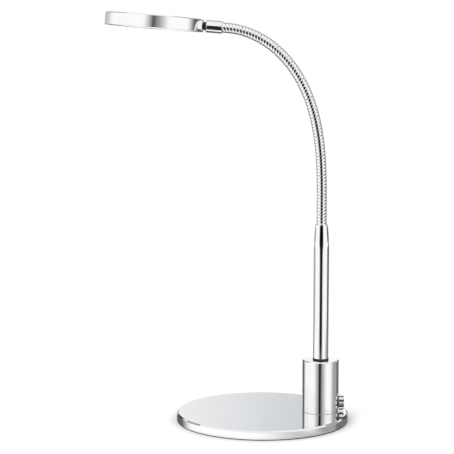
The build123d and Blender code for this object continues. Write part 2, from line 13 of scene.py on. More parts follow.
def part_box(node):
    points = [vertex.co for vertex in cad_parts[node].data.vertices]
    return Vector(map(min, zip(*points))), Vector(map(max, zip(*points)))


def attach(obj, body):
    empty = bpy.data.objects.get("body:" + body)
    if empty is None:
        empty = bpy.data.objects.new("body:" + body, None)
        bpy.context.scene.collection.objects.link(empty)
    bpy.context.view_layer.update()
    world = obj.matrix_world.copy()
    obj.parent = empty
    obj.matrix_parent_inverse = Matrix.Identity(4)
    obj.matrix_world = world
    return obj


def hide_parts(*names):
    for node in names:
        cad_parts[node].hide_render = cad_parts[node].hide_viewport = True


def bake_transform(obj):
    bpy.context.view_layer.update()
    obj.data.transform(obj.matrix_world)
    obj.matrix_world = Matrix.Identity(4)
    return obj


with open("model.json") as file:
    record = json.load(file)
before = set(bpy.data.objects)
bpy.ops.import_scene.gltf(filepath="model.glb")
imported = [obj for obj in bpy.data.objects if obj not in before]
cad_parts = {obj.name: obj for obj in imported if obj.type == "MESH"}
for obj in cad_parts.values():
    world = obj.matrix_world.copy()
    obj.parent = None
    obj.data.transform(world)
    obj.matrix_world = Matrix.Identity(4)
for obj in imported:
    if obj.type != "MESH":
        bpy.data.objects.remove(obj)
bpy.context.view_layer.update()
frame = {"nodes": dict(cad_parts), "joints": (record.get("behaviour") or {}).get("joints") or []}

bl_info = {
    "name": "Gooseneck Table Lamp",
    "version": (1, 0, 0),
    "blender": (4, 5, 0),
    "location": "View3D > Sidebar > Lamp",
    "description": "Builds the surfaces of a chromed gooseneck table lamp round its packed frame",
    "category": "Add Mesh",
}

# Lengths are metres. MM turns a size in millimetres into metres.
MM = 0.001
TINY = 1e-7
UP = Vector((0, 0, 1))
SIDE = Vector((0, 1, 0))
BACKWARD = Vector((1, 0, 0))
IN_PLACE = Matrix.Identity(4)
WHITE = (1.0, 1.0, 1.0)
BLACK = (0.0, 0.0, 0.0)

# How finely round forms are divided
TURN_STEPS = 192
DRILL_STEPS = 48
ARC_STEPS = 5
TAPER_STEPS = 14
FLUTE_STEPS = 32
WIRE_STEPS_PER_TURN = 36
WIRE_CROWN_STEPS = 10
LEAD_SIDES = 16
LEAD_STEPS = 12

# Section of the wire: how much of the pitch it fills on each side of its middle, and how flat its crown is
WIRE_SHARE = 0.49
WIRE_FLATNESS = 2.5

# Share of a turn that puts the ends of each span's wire on the neck's side, where bending doesn't part them
WIRE_CUT = 0.25

# Rings of LED chips over the opal plate, by radius and number of chips, and how far their light spreads
LED_RINGS = ((13.0 * MM, 8), (28.0 * MM, 16))
LED_SPREAD = 5.0 * MM

# Rounding of the pointer groove's ends, as a share of its width
POINTER_ROUNDING = 0.45


def joint_named(name):
    """Packed joint of that name."""
    return next(joint for joint in frame["joints"] if joint["name"] == name)


def middle(first, second):
    """Point half way between two points."""
    return (first + second) / 2


def placed(origin, axis):
    """Matrix whose Z axis is axis and whose Y axis lies as near SIDE as it can, at origin."""
    across = SIDE.cross(axis).normalized()
    turned = Matrix((across, axis.cross(across), axis)).transposed()
    return Matrix.Translation(origin) @ turned.to_4x4()


def local_box(node, placement):
    """Lowest and highest corner of a node in the axes of a placement."""
    inverse = placement.inverted()
    points = [inverse @ vertex.co for vertex in frame["nodes"][node].data.vertices]
    return [Vector(pick(axis) for axis in zip(*points)) for pick in (min, max)]


# Centre line of the neck, from the stem's mouth through its hinges to the ferrule
NECK_JOINTS = [joint for joint in frame["joints"] if joint["name"].startswith("neck_")]
HINGES = [Vector(joint["pos_m"]) for joint in NECK_JOINTS]
LINK_LENGTH = (HINGES[1] - HINGES[0]).length
HEAD_AXIS = Vector(joint_named("head_swivel")["axis"])
NECK_FOOT = HINGES[0] - UP * LINK_LENGTH
NECK_END = HINGES[-1] + HEAD_AXIS * LINK_LENGTH
NECK_POINTS = [NECK_FOOT, *HINGES, NECK_END]
SPAN_COUNT = len(NECK_JOINTS) // 2 + 1

# Room that the winding leaves on each side of a bend hinge, as a share of the distance from its axis.
# The cut ends of the wire, and those of the lead, leave END_SPARE times as much.
HINGE_SPARE = 1.1
HINGE_ROOM = HINGE_SPARE * tan(radians(NECK_JOINTS[0]["range_deg"][1]) / 2)
END_SPARE = 2.0

# Placements of the turned pieces
COLUMN_PLACE = Matrix.Translation((NECK_FOOT.x, 0, 0))
FERRULE_PLACE = placed(NECK_END, HEAD_AXIS)
HEAD_PLACE = placed(middle(*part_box("head_shell")), SIDE.cross(HEAD_AXIS))
KNOB_PLACE = placed(Vector(joint_named("dimmer_turn")["pos_m"]), BACKWARD)
INLET_PLACE = placed(UP * middle(*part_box("cord_bush")).z, BACKWARD)


def length(name, description, millimetres):
    """Length property with its default given in millimetres."""
    kind = {"min": 0, "precision": 5, "unit": "LENGTH"}
    return FloatProperty(name=name, description=description, default=millimetres * MM, **kind)


def colour(name, description, *default):
    """Colour property, in linear light."""
    kind = {"min": 0, "max": 1, "size": 3, "subtype": "COLOR"}
    return FloatVectorProperty(name=name, description=description, default=default, **kind)


def count(name, description, default, least):
    """Property that counts things."""
    return IntProperty(name=name, description=description, default=default, min=least)


class LampSizes(PropertyGroup):
    """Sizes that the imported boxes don't give."""

    rounding: length("Rounding", "Radius of the softened corners of turned pieces", 0.25)
    base_wall: length("Base wall", "Wall of the base's pressed dish", 1.5)
    base_edge: length("Base edge", "Bevel round the base's top", 1.4)
    mat_ring_pitch: length("Mat rings", "Distance between the rings moulded under the mat", 4.0)
    mat_ring_depth: length("Mat ring depth", "Depth of the rings moulded under the mat", 0.4)
    inlet_bore: length("Inlet bore", "Inner radius of the cord's inlet", 1.9)
    column_wall: length("Column wall", "Wall of the column", 1.6)
    column_roof: length("Column roof", "Thickness of the column's top", 2.4)
    column_edge: length("Column edge", "Bevel round the column's top", 0.8)
    column_foot_edge: length("Column foot edge", "Bevel round the column's foot", 0.3)
    roof_hole: length("Roof hole", "Radius of the hole for the nipple in the column's top", 5.2)
    dimmer_hole: length("Dimmer hole", "Radius of the hole for the dimmer's bushing", 3.6)
    stem_bore: length("Stem bore", "Inner radius of the stem", 5.5)
    stem_thread: length("Stem thread", "Inner radius of the stem's tapped foot", 5.0)
    stem_thread_depth: length("Stem thread depth", "Depth of the stem's tapped foot", 16.0)
    stem_socket: length("Stem socket", "Inner radius of the stem's mouth", 4.3)
    stem_mouth: length("Stem mouth", "Outer radius of the stem's mouth", 6.0)
    stem_taper: length("Stem taper", "Length over which the stem is drawn in", 26.0)
    stem_mouth_edge: length("Stem mouth edge", "Bevel round the stem's mouth", 0.8)
    neck_radius: length("Neck radius", "Outer radius of the wound neck", 5.0)
    wire_depth: length("Wire depth", "Depth of the winding's wire", 1.5)
    wire_crown: length("Wire crown", "Height of the wire's rounded crown", 0.3)
    neck_tail: length("Neck tail", "Length of winding held in the stem and in the ferrule", 4.0)
    turns_per_link: count("Turns per link", "Turns of wire in each link of the neck", 3, least=1)
    lead_radius: length("Lead radius", "Radius of the lead inside the neck", 1.3)
    ferrule_edge: length("Ferrule edge", "Bevel round the ferrule's ends", 0.6)
    spigot_seat: length("Spigot seat", "Radius of the spigot's seat in the ferrule", 3.5)
    spigot_collar: length("Spigot collar", "Radius of the collar in the open gap", 4.0)
    spigot_collar_length: length("Spigot collar length", "Length of the collar in the open gap", 2.05)
    spigot_journal: length("Spigot journal", "Radius of the journal that the head turns on", 2.7)
    spigot_bore: length("Spigot bore", "Inner radius of the spigot", 1.6)
    head_wall: length("Head wall", "Wall of the head", 1.6)
    head_roof: length("Head roof", "Thickness of the head's top", 1.5)
    head_edge: length("Head edge", "Bevel round the head's top", 0.8)
    head_ledge: length("Head ledge", "Width of the ledge over the opal plate", 0.8)
    head_hole: length("Head hole", "Radius of the hole for the journal in the head's rim", 2.9)
    bezel_width: length("Bezel width", "Width of the ring under the opal plate", 2.4)
    knob_wall: length("Knob wall", "Wall round the knob's recess", 1.9)
    knob_recess: length("Knob recess", "Depth of the recess behind the knob", 2.4)
    knob_edge: length("Knob edge", "Bevel round the knob's face", 0.5)
    flute_radius: length("Flute radius", "Radius of the knob's flutes", 2.5)
    flute_depth: length("Flute depth", "Depth of the knob's flutes", 1.3)
    flute_count: count("Flutes", "Flutes round the knob", 8, least=3)
    pointer_length: length("Pointer length", "Length of the knob's pointer groove", 4.0)
    pointer_width: length("Pointer width", "Width of the knob's pointer groove", 0.9)
    pointer_depth: length("Pointer depth", "Depth of the knob's pointer groove", 0.4)


class LampColours(PropertyGroup):
    """Colours of the lamp's finishes, in linear light."""

    chrome: colour("Chrome", "Polished chrome", 0.965, 0.965, 0.965)
    chrome_haze: colour("Chrome haze", "Chrome where it is a little hazed", 0.92, 0.925, 0.93)
    wire: colour("Wire", "Crown of the wound wire", 0.95, 0.95, 0.95)
    # This colour is dirt and painted shade in the groove between the wire's turns
    wire_groove_dirt_and_shade: colour("Wire groove", "Dulled flanks of the wound wire", 0.5, 0.5, 0.505)
    # This colour is black painted into the bottoms of the knob's flutes as painted shade and dark
    # reflections
    flute_shade: colour("Lacquer", "Black lacquer in the knob's flutes", 0.01, 0.01, 0.011)
    rubber: colour("Rubber", "Mat, grommet and gasket", 0.012, 0.012, 0.013)
    rubber_bloom: colour("Rubber bloom", "Pale bloom on the rubber", 0.035, 0.035, 0.037)
    opal: colour("Opal", "Opal acrylic plate", 0.88, 0.88, 0.86)
    glow: colour("Glow", "Light in the opal plate under the chips", 1.0, 0.97, 0.92)
    faint_glow: colour("Faint glow", "Light in the opal plate between the chips", 0.82, 0.80, 0.77)
    dark_steel: colour("Dark steel", "Blackened steel of the spigot", 0.035, 0.035, 0.038)
    zinc: colour("Zinc", "Zinc-plated screws and nuts", 0.62, 0.63, 0.66)
    ballast: colour("Ballast", "Cast ballast disc", 0.09, 0.088, 0.085)
    rust: colour("Rust", "Rust stains on the ballast", 0.13, 0.10, 0.08)
    brass: colour("Brass", "Brass nipple", 0.72, 0.50, 0.21)
    alloy: colour("Alloy", "Die-cast bearing block and foot", 0.50, 0.50, 0.51)
    plastic: colour("Plastic", "Black moulded plastic", 0.018, 0.018, 0.020)
    green_mask: colour("Green mask", "Solder mask of the dimmer's board", 0.010, 0.12, 0.045)
    white_mask: colour("White mask", "Solder mask of the LED board", 0.78, 0.78, 0.76)
    copper: colour("Copper", "Tracks under the solder masks", 0.55, 0.42, 0.20)
    phosphor: colour("Phosphor", "Phosphor of the LED chips", 0.85, 0.62, 0.10)
    phosphor_grain: colour("Phosphor grain", "Brighter grains in the phosphor", 0.95, 0.80, 0.35)
    sheath: colour("Sheath", "Sheath of the inner lead", 0.70, 0.70, 0.68)
    floor: colour("Floor", "Pale floor", 0.93, 0.93, 0.93)


def shade(tint, factor):
    """Colour made darker or lighter by a factor."""
    return tuple(factor * part for part in tint)


class Value:
    """A shader socket that takes part in Python expressions, each of which adds a Math node."""

    def __init__(self, graph, socket):
        self.graph = graph
        self.socket = socket

    def __add__(self, other):
        return self.graph.maths("ADD", self, other)

    __radd__ = __add__

    def __sub__(self, other):
        return self.graph.maths("SUBTRACT", self, other)

    def __rsub__(self, other):
        return self.graph.maths("SUBTRACT", other, self)

    def __mul__(self, other):
        return self.graph.maths("MULTIPLY", self, other)

    __rmul__ = __mul__

    def __truediv__(self, other):
        return self.graph.maths("DIVIDE", self, other)

    def __rtruediv__(self, other):
        return self.graph.maths("DIVIDE", other, self)

    def __pow__(self, other):
        return self.graph.maths("POWER", self, other)

    def __abs__(self):
        return self.graph.maths("ABSOLUTE", self)

    def beside(self, name):
        """Another output of the same node."""
        return Value(self.graph, self.socket.node.outputs[name])


class Graph:
    """A node tree that is filled from nothing."""

    def __init__(self, tree):
        self.tree = tree
        tree.nodes.clear()

    def add(self, kind, settings=None, inputs=None, output=0):
        """Adds a node, sets it, feeds its sockets with values or links and gives one of its outputs."""
        node = self.tree.nodes.new(kind)
        for name, setting in (settings or {}).items():
            setattr(node, name, setting)
        for key, fed in (inputs or {}).items():
            if isinstance(fed, Value):
                self.tree.links.new(fed.socket, node.inputs[key])
            else:
                node.inputs[key].default_value = fed
        return Value(self, node.outputs[output]) if node.outputs else None

    def maths(self, operation, *fed):
        return self.add("ShaderNodeMath", {"operation": operation}, dict(enumerate(fed)))

    def larger(self, first, second):
        return self.maths("MAXIMUM", first, second)

    def between(self, share, first, second):
        """Number between first at 0 and second at 1."""
        return first + share * (second - first)

    def ramp(self, value, *spans):
        """Smooth rise from 0 at a span's first end to 1 at its second, or the product of several."""
        settings = {"interpolation_type": "SMOOTHSTEP"}
        rises = []
        for low, high in spans:
            fed = {0: value, 1: low, 2: high, 3: 0.0, 4: 1.0}
            rises.append(self.add("ShaderNodeMapRange", settings, fed))
        return prod(rises[1:], start=rises[0])

    def place(self):
        """Coordinates of the piece's own mesh."""
        return self.add("ShaderNodeTexCoord", output="Object")

    def parts(self, vector=None):
        """X, Y and Z of a vector, or else of the piece's own coordinates."""
        split = self.add("ShaderNodeSeparateXYZ", None, {0: vector or self.place()})
        return split, split.beside("Y"), split.beside("Z")

    def radius(self, across, along):
        """Distance from the Z axis."""
        return self.maths("SQRT", across * across + along * along)

    def groove(self):
        """How deep the surface lies in a groove, from 0 to 1."""
        return self.add("ShaderNodeAttribute", {"attribute_name": "groove"}, output="Fac")

    def noise(self, scale, detail, place=None):
        """Noise in the piece's own coordinates, or at a place. scale may be one for each axis."""
        place = place or self.place()
        if isinstance(scale, tuple):
            place = self.add("ShaderNodeVectorMath", {"operation": "MULTIPLY"}, {0: place, 1: scale})
            scale = 1.0
        return self.add("ShaderNodeTexNoise", None, {"Vector": place, "Scale": scale, "Detail": detail})

    def rings(self, axis, measure, detail):
        """Noise that changes with one measure alone, which is fed in as the axis of that number."""
        return self.noise(1.0, detail, self.add("ShaderNodeCombineXYZ", None, {axis: measure}))

    def cells(self, scale):
        """Distance to the nearest of many points scattered in the piece's own coordinates."""
        return self.add("ShaderNodeTexVoronoi", None, {"Vector": self.place(), "Scale": scale})

    def tint(self, colour):
        """A colour as a socket takes it."""
        return colour if isinstance(colour, Value) else (*colour, 1.0)

    def mix(self, share, first, second):
        """Colour between first at 0 and second at 1."""
        fed = {0: share, 6: self.tint(first), 7: self.tint(second)}
        return self.add("ShaderNodeMix", {"data_type": "RGBA"}, fed, output=2)

    def bump(self, height, strength, millimetres):
        """Normal of a relief, with its depth in millimetres."""
        fed = {"Height": height, "Strength": strength, "Distance": millimetres * MM}
        return self.add("ShaderNodeBump", None, fed)

    def principled(self, **inputs):
        """Principled shader, with the names of its sockets written with underscores."""
        fed = {name.replace("_", " "): value for name, value in inputs.items()}
        return self.add("ShaderNodeBsdfPrincipled", None, fed)

    def light(self, colour):
        """Shader that shines with a colour as it is written."""
        return self.add("ShaderNodeEmission", None, {"Color": self.tint(colour), "Strength": 1.0})

    def clear(self):
        return self.add("ShaderNodeBsdfTransparent")

    def blend(self, share, first, second):
        """Shader between first at 0 and second at 1."""
        return self.add("ShaderNodeMixShader", None, {0: share, 1: first, 2: second})

    def show(self, shader):
        """Makes a shader the tree's surface."""
        self.add("ShaderNodeOutputMaterial", None, {"Surface": shader})

    def surface(self, **inputs):
        """Principled surface."""
        self.show(self.principled(**inputs))

    def patterned(self, pattern, colours, roughness, relief, tinting=None, **inputs):
        """Surface whose roughness and relief follow a pattern, and its colour too unless another tints it.

        roughness is its start and its change, relief is its strength and its depth in millimetres.
        """
        smooth, change = roughness
        self.surface(
            Base_Color=self.mix(tinting or pattern, *colours),
            Roughness=smooth + pattern * change,
            Normal=self.bump(pattern, *relief),
            **inputs,
        )


def finish(recipe):
    """Material that a recipe makes the first time it is asked for, named after the recipe."""
    material = bpy.data.materials.get(recipe.__name__)
    if material is None:
        material = bpy.data.materials.new(recipe.__name__)
        material.use_nodes = True
        recipe(Graph(material.node_tree), bpy.context.scene.lamp_colours)
    return material


def polished_chrome(graph, colours):
    """Mirror chrome with a breath of haze and faint polishing lines."""
    haze = graph.ramp(graph.noise(38.0, 4.0), (0.42, 0.72))
    lines = graph.noise((260.0, 260.0, 2600.0), 3.0)
    graph.surface(
        Base_Color=graph.mix(haze, colours.chrome, colours.chrome_haze),
        Metallic=1.0,
        Roughness=0.035 + haze * 0.05 + lines * 0.02,
        Normal=graph.bump(lines, 0.02, 0.01),
    )


def fluted_chrome(graph, colours):
    """Chrome of the knob, with black painted into the bottoms of its flutes as painted shade and dark
    reflections.
    """
    smear = graph.noise(900.0, 3.0)
    # Painted shade and dark reflections: black in the bottoms of the flutes
    flute_shade = graph.ramp(graph.groove() + smear * 0.3, (0.85, 1.05))
    graph.surface(
        Base_Color=graph.mix(flute_shade, colours.chrome, colours.flute_shade),
        Metallic=1 - flute_shade,
        Roughness=0.05 + smear * 0.05 + flute_shade * 0.3,
        Normal=graph.bump(smear, 0.03, 0.02),
    )


def wound_chrome(graph, colours):
    """Chromed wire, bright on its crown and darkened by dirt and painted shade in the groove between the
    turns.
    """
    handling = graph.noise(420.0, 3.0)
    # Dirt and painted shade, darkening the groove between the turns
    groove_dirt_and_shade = graph.ramp(graph.groove() + handling * 0.25, (0.68, 1.08))
    graph.surface(
        Base_Color=graph.mix(groove_dirt_and_shade, colours.wire, colours.wire_groove_dirt_and_shade),
        Metallic=1.0,
        Roughness=0.06 + handling * 0.05 + groove_dirt_and_shade * 0.06,
        Normal=graph.bump(handling, 0.03, 0.02),
    )


def head_chrome(graph, colours):
    """Chrome of the spun head, with the faint rings that turning leaves."""
    across, along, _ = graph.parts()
    rings = graph.rings(0, graph.radius(across, along) * 1400.0, 4.0)
    haze = graph.ramp(graph.noise(46.0, 4.0), (0.45, 0.75))
    graph.surface(
        Base_Color=graph.mix(haze, colours.chrome, colours.chrome_haze),
        Metallic=1.0,
        Roughness=0.05 + haze * 0.04 + rings * 0.04,
        Normal=graph.bump(rings, 0.03, 0.01),
    )


def black_rubber(graph, colours):
    """Moulded rubber with a fine pebble and a pale bloom."""
    pebble = graph.cells(1500.0)
    bloom = graph.ramp(graph.noise(60.0, 5.0), (0.45, 0.8))
    graph.surface(
        Base_Color=graph.mix(bloom, colours.rubber, colours.rubber_bloom),
        Roughness=0.62 + bloom * 0.2,
        Specular_IOR_Level=0.15,
        Normal=graph.bump(pebble, 0.25, 0.06),
    )


def opal_acrylic(graph, colours):
    """Opal acrylic over two rings of LED chips, which show as soft spots of light."""
    across, along, _ = graph.parts()
    radius = graph.radius(across, along)
    turn = graph.maths("ARCTAN2", along, across) / tau

    def spots(ring_radius, chip_count):
        """Light of one ring of chips."""
        aside = (graph.maths("FRACT", turn * chip_count) - 0.5) * (tau * ring_radius / chip_count)
        off = radius - ring_radius
        return 1 / (1 + (aside * aside + off * off) / LED_SPREAD**2)

    shine = graph.ramp(sum(spots(*ring) for ring in LED_RINGS), (0.2, 1.4))
    mottle = graph.noise(900.0, 2.0)
    graph.patterned(
        mottle,
        (colours.opal, shade(colours.opal, 0.97)),
        roughness=(0.32, 0.08),
        relief=(0.05, 0.02),
        Emission_Color=graph.mix(shine, colours.faint_glow, colours.glow),
        Emission_Strength=0.45,
    )


def blackened_steel(graph, colours):
    """Blackened steel with turning rings, worn brighter in places."""
    height = graph.parts()[2]
    rings = graph.rings(2, height * 4200.0, 3.0)
    wear = graph.ramp(graph.noise(700.0, 4.0), (0.55, 0.8))
    tints = (colours.dark_steel, shade(colours.dark_steel, 3))
    graph.patterned(rings, tints, roughness=(0.28, 0.2), relief=(0.15, 0.03), tinting=wear, Metallic=1.0)


def zinc_plate(graph, colours):
    """Bright zinc plating with a spangled tint."""
    spangle = graph.cells(900.0)
    tints = (colours.zinc, shade(colours.zinc, 0.8))
    graph.patterned(spangle, tints, roughness=(0.25, 0.2), relief=(0.08, 0.02), Metallic=1.0)


def cast_ballast(graph, colours):
    """Sand-cast iron with a rough skin."""
    skin = graph.noise(650.0, 6.0)
    stain = graph.ramp(graph.noise(30.0, 5.0), (0.4, 0.75))
    tints = (colours.ballast, colours.rust)
    graph.patterned(skin, tints, roughness=(0.55, 0.3), relief=(0.5, 0.2), tinting=stain, Metallic=0.8)


def nipple_brass(graph, colours):
    """Turned brass with thread-like rings, one to a millimetre, painted darker in their valleys as shade.
    """
    height = graph.parts()[2]
    thread = abs(graph.maths("FRACT", height / MM) - 0.5) * 2.0
    # The darker tint lies in the thread's valleys: painted shade
    tints = (shade(colours.brass, 0.55), colours.brass)
    graph.patterned(thread, tints, roughness=(0.22, 0.12), relief=(0.6, 0.3), Metallic=1.0)


def cast_alloy(graph, colours):
    """Die-cast alloy with flow marks and a fine grain."""
    flow = graph.noise((120.0, 120.0, 480.0), 5.0)
    grain = graph.noise(2600.0, 3.0)
    tints = (colours.alloy, shade(colours.alloy, 0.8))
    graph.patterned(grain, tints, roughness=(0.34, 0.2), relief=(0.2, 0.03), tinting=flow, Metallic=0.9)


def moulded_black(graph, colours):
    """Moulded black plastic with a spark-eroded grain."""
    grain = graph.noise(2200.0, 4.0)
    tints = (colours.plastic, shade(colours.plastic, 1.8))
    graph.patterned(grain, tints, roughness=(0.42, 0.18), relief=(0.25, 0.04))


def tracked_board(graph, mask, copper):
    """Circuit board whose copper tracks show faintly through the solder mask."""
    bricks = {"Vector": graph.place(), "Scale": 160.0, "Mortar Size": 0.06}
    tracks = graph.add("ShaderNodeTexBrick", None, bricks, output="Fac")
    weave = graph.noise(3000.0, 2.0)
    graph.surface(
        Base_Color=graph.mix(tracks * 0.45, mask, copper),
        Roughness=0.3 + weave * 0.15,
        Normal=graph.bump(tracks, 0.3, 0.035),
    )


def green_mask(graph, colours):
    """Board of the dimmer."""
    tracked_board(graph, colours.green_mask, colours.copper)


def white_mask(graph, colours):
    """Board of the LED chips."""
    tracked_board(graph, colours.white_mask, colours.copper)


def led_phosphor(graph, colours):
    """Phosphor of the LED chips, with a speckle of grains."""
    grains = graph.noise(6000.0, 2.0)
    tints = (colours.phosphor, colours.phosphor_grain)
    graph.patterned(grains, tints, roughness=(0.45, 0.1), relief=(0.2, 0.02))


def lead_jacket(graph, colours):
    """Sheath of the inner lead, with drawing lines along it."""
    lines = graph.noise((2600.0, 2600.0, 60.0), 2.0)
    tints = (colours.sheath, shade(colours.sheath, 0.85))
    graph.patterned(lines, tints, roughness=(0.45, 0.15), relief=(0.1, 0.02))


def rounded(corners):
    """Outline of (radius, height) points through corners, each rounded by an arc unless it is on the axis.

    A corner is a radius, a height and, where it isn't the lamp's usual one, its rounding.
    """
    usual = bpy.context.scene.lamp_sizes.rounding
    points = []
    ends = [Vector(corner[:2]) for corner in corners]
    for index, (radius, _, *own) in enumerate(corners):
        corner = ends[index]
        rounding = own[0] if own else usual
        if rounding == 0 or radius == 0:
            points.append(corner)
            continue
        before = (ends[index - 1] - corner).normalized()
        after = (ends[(index + 1) % len(ends)] - corner).normalized()
        half_angle = before.angle(after) / 2
        centre = corner + (before + after).normalized() * (rounding / sin(half_angle))
        reach = rounding / tan(half_angle)
        first = corner + before * reach - centre
        last = corner + after * reach - centre
        turn = atan2(first.cross(last), first.dot(last))
        for step in range(ARC_STEPS + 1):
            points.append(centre + Matrix.Rotation(turn * step / ARC_STEPS, 2) @ first)
    return points


def skin_mesh(name, skin):
    """Mesh made of a finished bmesh, shaded smooth with its normals outward."""
    bmesh.ops.recalc_face_normals(skin, faces=skin.faces)
    for face in skin.faces:
        face.smooth = True
    mesh = bpy.data.meshes.new(name)
    skin.to_mesh(mesh)
    skin.free()
    return mesh


def new_object(name, mesh, placement=IN_PLACE):
    """Object of a mesh, linked to the scene and put in its place."""
    made = bpy.data.objects.new(name, mesh)
    bpy.context.scene.collection.objects.link(made)
    made.matrix_world = placement
    bpy.context.view_layer.update()
    return made


def turned_piece(name, placement, corners, steps=TURN_STEPS, shape=None):
    """Closed outline through corners, as rounded takes them, turned about a placement's Z axis.

    shape may change a radius by its angle.
    """
    skin = bmesh.new()
    rings = []
    for radius, height in rounded(corners):
        if radius < TINY:
            rings.append([skin.verts.new((0, 0, height))] * steps)
            continue
        ring = []
        for step in range(steps):
            angle = tau * step / steps
            reach = shape(radius, angle) if shape else radius
            ring.append(skin.verts.new((reach * cos(angle), reach * sin(angle), height)))
        rings.append(ring)
    for ring, following in zip(rings, rings[1:] + rings[:1]):
        for step in range(steps):
            after = (step + 1) % steps
            face = dict.fromkeys((ring[step], ring[after], following[after], following[step]))
            if len(face) > 2:
                skin.faces.new(face)
    return new_object(name, skin_mesh(name, skin), placement)


def turned_ring(name, placement, inner, low, high, top_rounding):
    """Ring of a plain section from an inner radius to a box's corners."""
    top = ((high.y, high.z, top_rounding), (inner, high.z, top_rounding))
    return turned_piece(name, placement, ((inner, low.z), (high.y, low.z), *top))


def mark_grooves(mesh, depths):
    """Gives each point of a mesh how deep it lies in a groove, from 0 to 1."""
    marks = mesh.attributes.new("groove", "FLOAT", "POINT")
    marks.data.foreach_set("value", depths)


def cut(piece, cutter):
    """Takes the cutter's solid out of a piece and removes the cutter."""
    cutting = piece.modifiers.new("cut", "BOOLEAN")
    cutting.operation = "DIFFERENCE"
    cutting.solver = "EXACT"
    cutting.object = cutter
    bpy.context.view_layer.update()
    whole = piece.data
    finished = piece.evaluated_get(bpy.context.evaluated_depsgraph_get())
    piece.data = bpy.data.meshes.new_from_object(finished)
    piece.data.name = whole.name
    piece.modifiers.remove(cutting)
    bpy.data.meshes.remove(whole)
    bpy.data.objects.remove(cutter)


def drill(piece, placement, radius, start, end):
    """Round hole along a placement's Z axis from start to end."""
    corners = ((0, start), (radius, start, 0), (radius, end, 0), (0, end))
    cut(piece, turned_piece("drill", placement, corners, DRILL_STEPS))


def dress(piece, recipe, body, slot, *nodes):
    """Gives a piece its finish and its body, and hides the CAD nodes that it stands for. slot is not used.
    """
    piece.data.materials.append(finish(recipe))
    flats = piece.modifiers.new("flats", "WEIGHTED_NORMAL")
    flats.keep_sharp = True
    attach(piece, body)
    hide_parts(*nodes)


class LampStep:
    """What the lamp's operators share."""

    bl_options = {"REGISTER", "UNDO"}


class LAMP_OT_base_dish(LampStep, Operator):
    """Pressed and chromed dish of the base, with the cord's inlet hole in its rear rim"""

    bl_idname = "lamp.base_dish"
    bl_label = "Base Dish"

    def execute(self, context):
        sizes = context.scene.lamp_sizes
        edge = sizes.base_edge
        low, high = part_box("base_cover")
        inside = high.x - sizes.base_wall
        ceiling = high.z - sizes.base_wall
        dish = turned_piece("base_dish", IN_PLACE, (
            (0, high.z),
            (high.x - edge, high.z),
            (high.x, high.z - edge),
            (high.x, low.z),
            (inside, low.z),
            (inside, ceiling),
            (0, ceiling),
        ))
        bush_low, bush_high = local_box("cord_bush", INLET_PLACE)
        drill(dish, INLET_PLACE, bush_high.y, bush_low.z, bush_high.z + edge)
        dress(dish, polished_chrome, "base", "chrome", "base_cover")
        return {"FINISHED"}


class LAMP_OT_rubber_parts(LampStep, Operator):
    """Ringed mat under the base, grommet of the cord's inlet and gasket under the stem"""

    bl_idname = "lamp.rubber_parts"
    bl_label = "Rubber Parts"

    def execute(self, context):
        sizes = context.scene.lamp_sizes
        soft = sizes.rounding
        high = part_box("base_pad")[1]
        pitch = sizes.mat_ring_pitch
        corners = [(0, high.z), (high.x, high.z), (high.x, 0)]
        for ring in range(int(high.x / pitch) - 1, 0, -1):
            corners += [
                ((ring + 1 / 4) * pitch, 0, 0),
                ((ring + 1 / 8) * pitch, sizes.mat_ring_depth, 0),
                ((ring - 1 / 8) * pitch, sizes.mat_ring_depth, 0),
                ((ring - 1 / 4) * pitch, 0, 0),
            ]
        corners.append((0, 0))
        mat = turned_piece("rubber_mat", IN_PLACE, corners)
        dress(mat, black_rubber, "base", "black_rubber", "base_pad")

        low, high = local_box("cord_bush", INLET_PLACE)
        grommet = turned_piece("inlet_grommet", INLET_PLACE, (
            (sizes.inlet_bore, low.z),
            (sizes.inlet_bore, high.z - soft, 2 * soft),
            (high.y, high.z - soft),
            (high.y, low.z),
        ))
        dress(grommet, black_rubber, "base", "black_rubber", "cord_bush")

        low, high = local_box("stem_gasket", COLUMN_PLACE)
        gasket = turned_ring("gasket_ring", COLUMN_PLACE, sizes.roof_hole, low, high, soft)
        dress(gasket, black_rubber, "base", "black_rubber", "stem_gasket")
        return {"FINISHED"}


class LAMP_OT_column(LampStep, Operator):
    """Chromed column, a deep cup drilled for the nipple and the dimmer's bushing"""

    bl_idname = "lamp.column"
    bl_label = "Column"

    def execute(self, context):
        sizes = context.scene.lamp_sizes
        soft = sizes.rounding
        edge = sizes.column_edge
        foot_edge = sizes.column_foot_edge
        low, high = local_box("column_shell", COLUMN_PLACE)
        outside = high.y
        inside = outside - sizes.column_wall
        ceiling = high.z - sizes.column_roof
        sleeve = turned_piece("column_sleeve", COLUMN_PLACE, (
            (sizes.roof_hole, high.z),
            (outside - edge, high.z),
            (outside, high.z - edge),
            (outside, low.z + foot_edge, soft / 2),
            (outside - foot_edge, low.z, 0),
            (inside, low.z),
            (inside, ceiling),
            (sizes.roof_hole, ceiling),
        ))
        knob = KNOB_PLACE.translation
        drill(sleeve, placed(UP * knob.z, BACKWARD), sizes.dimmer_hole, NECK_FOOT.x, knob.x)
        dress(sleeve, polished_chrome, "base", "chrome", "column_shell")
        return {"FINISHED"}


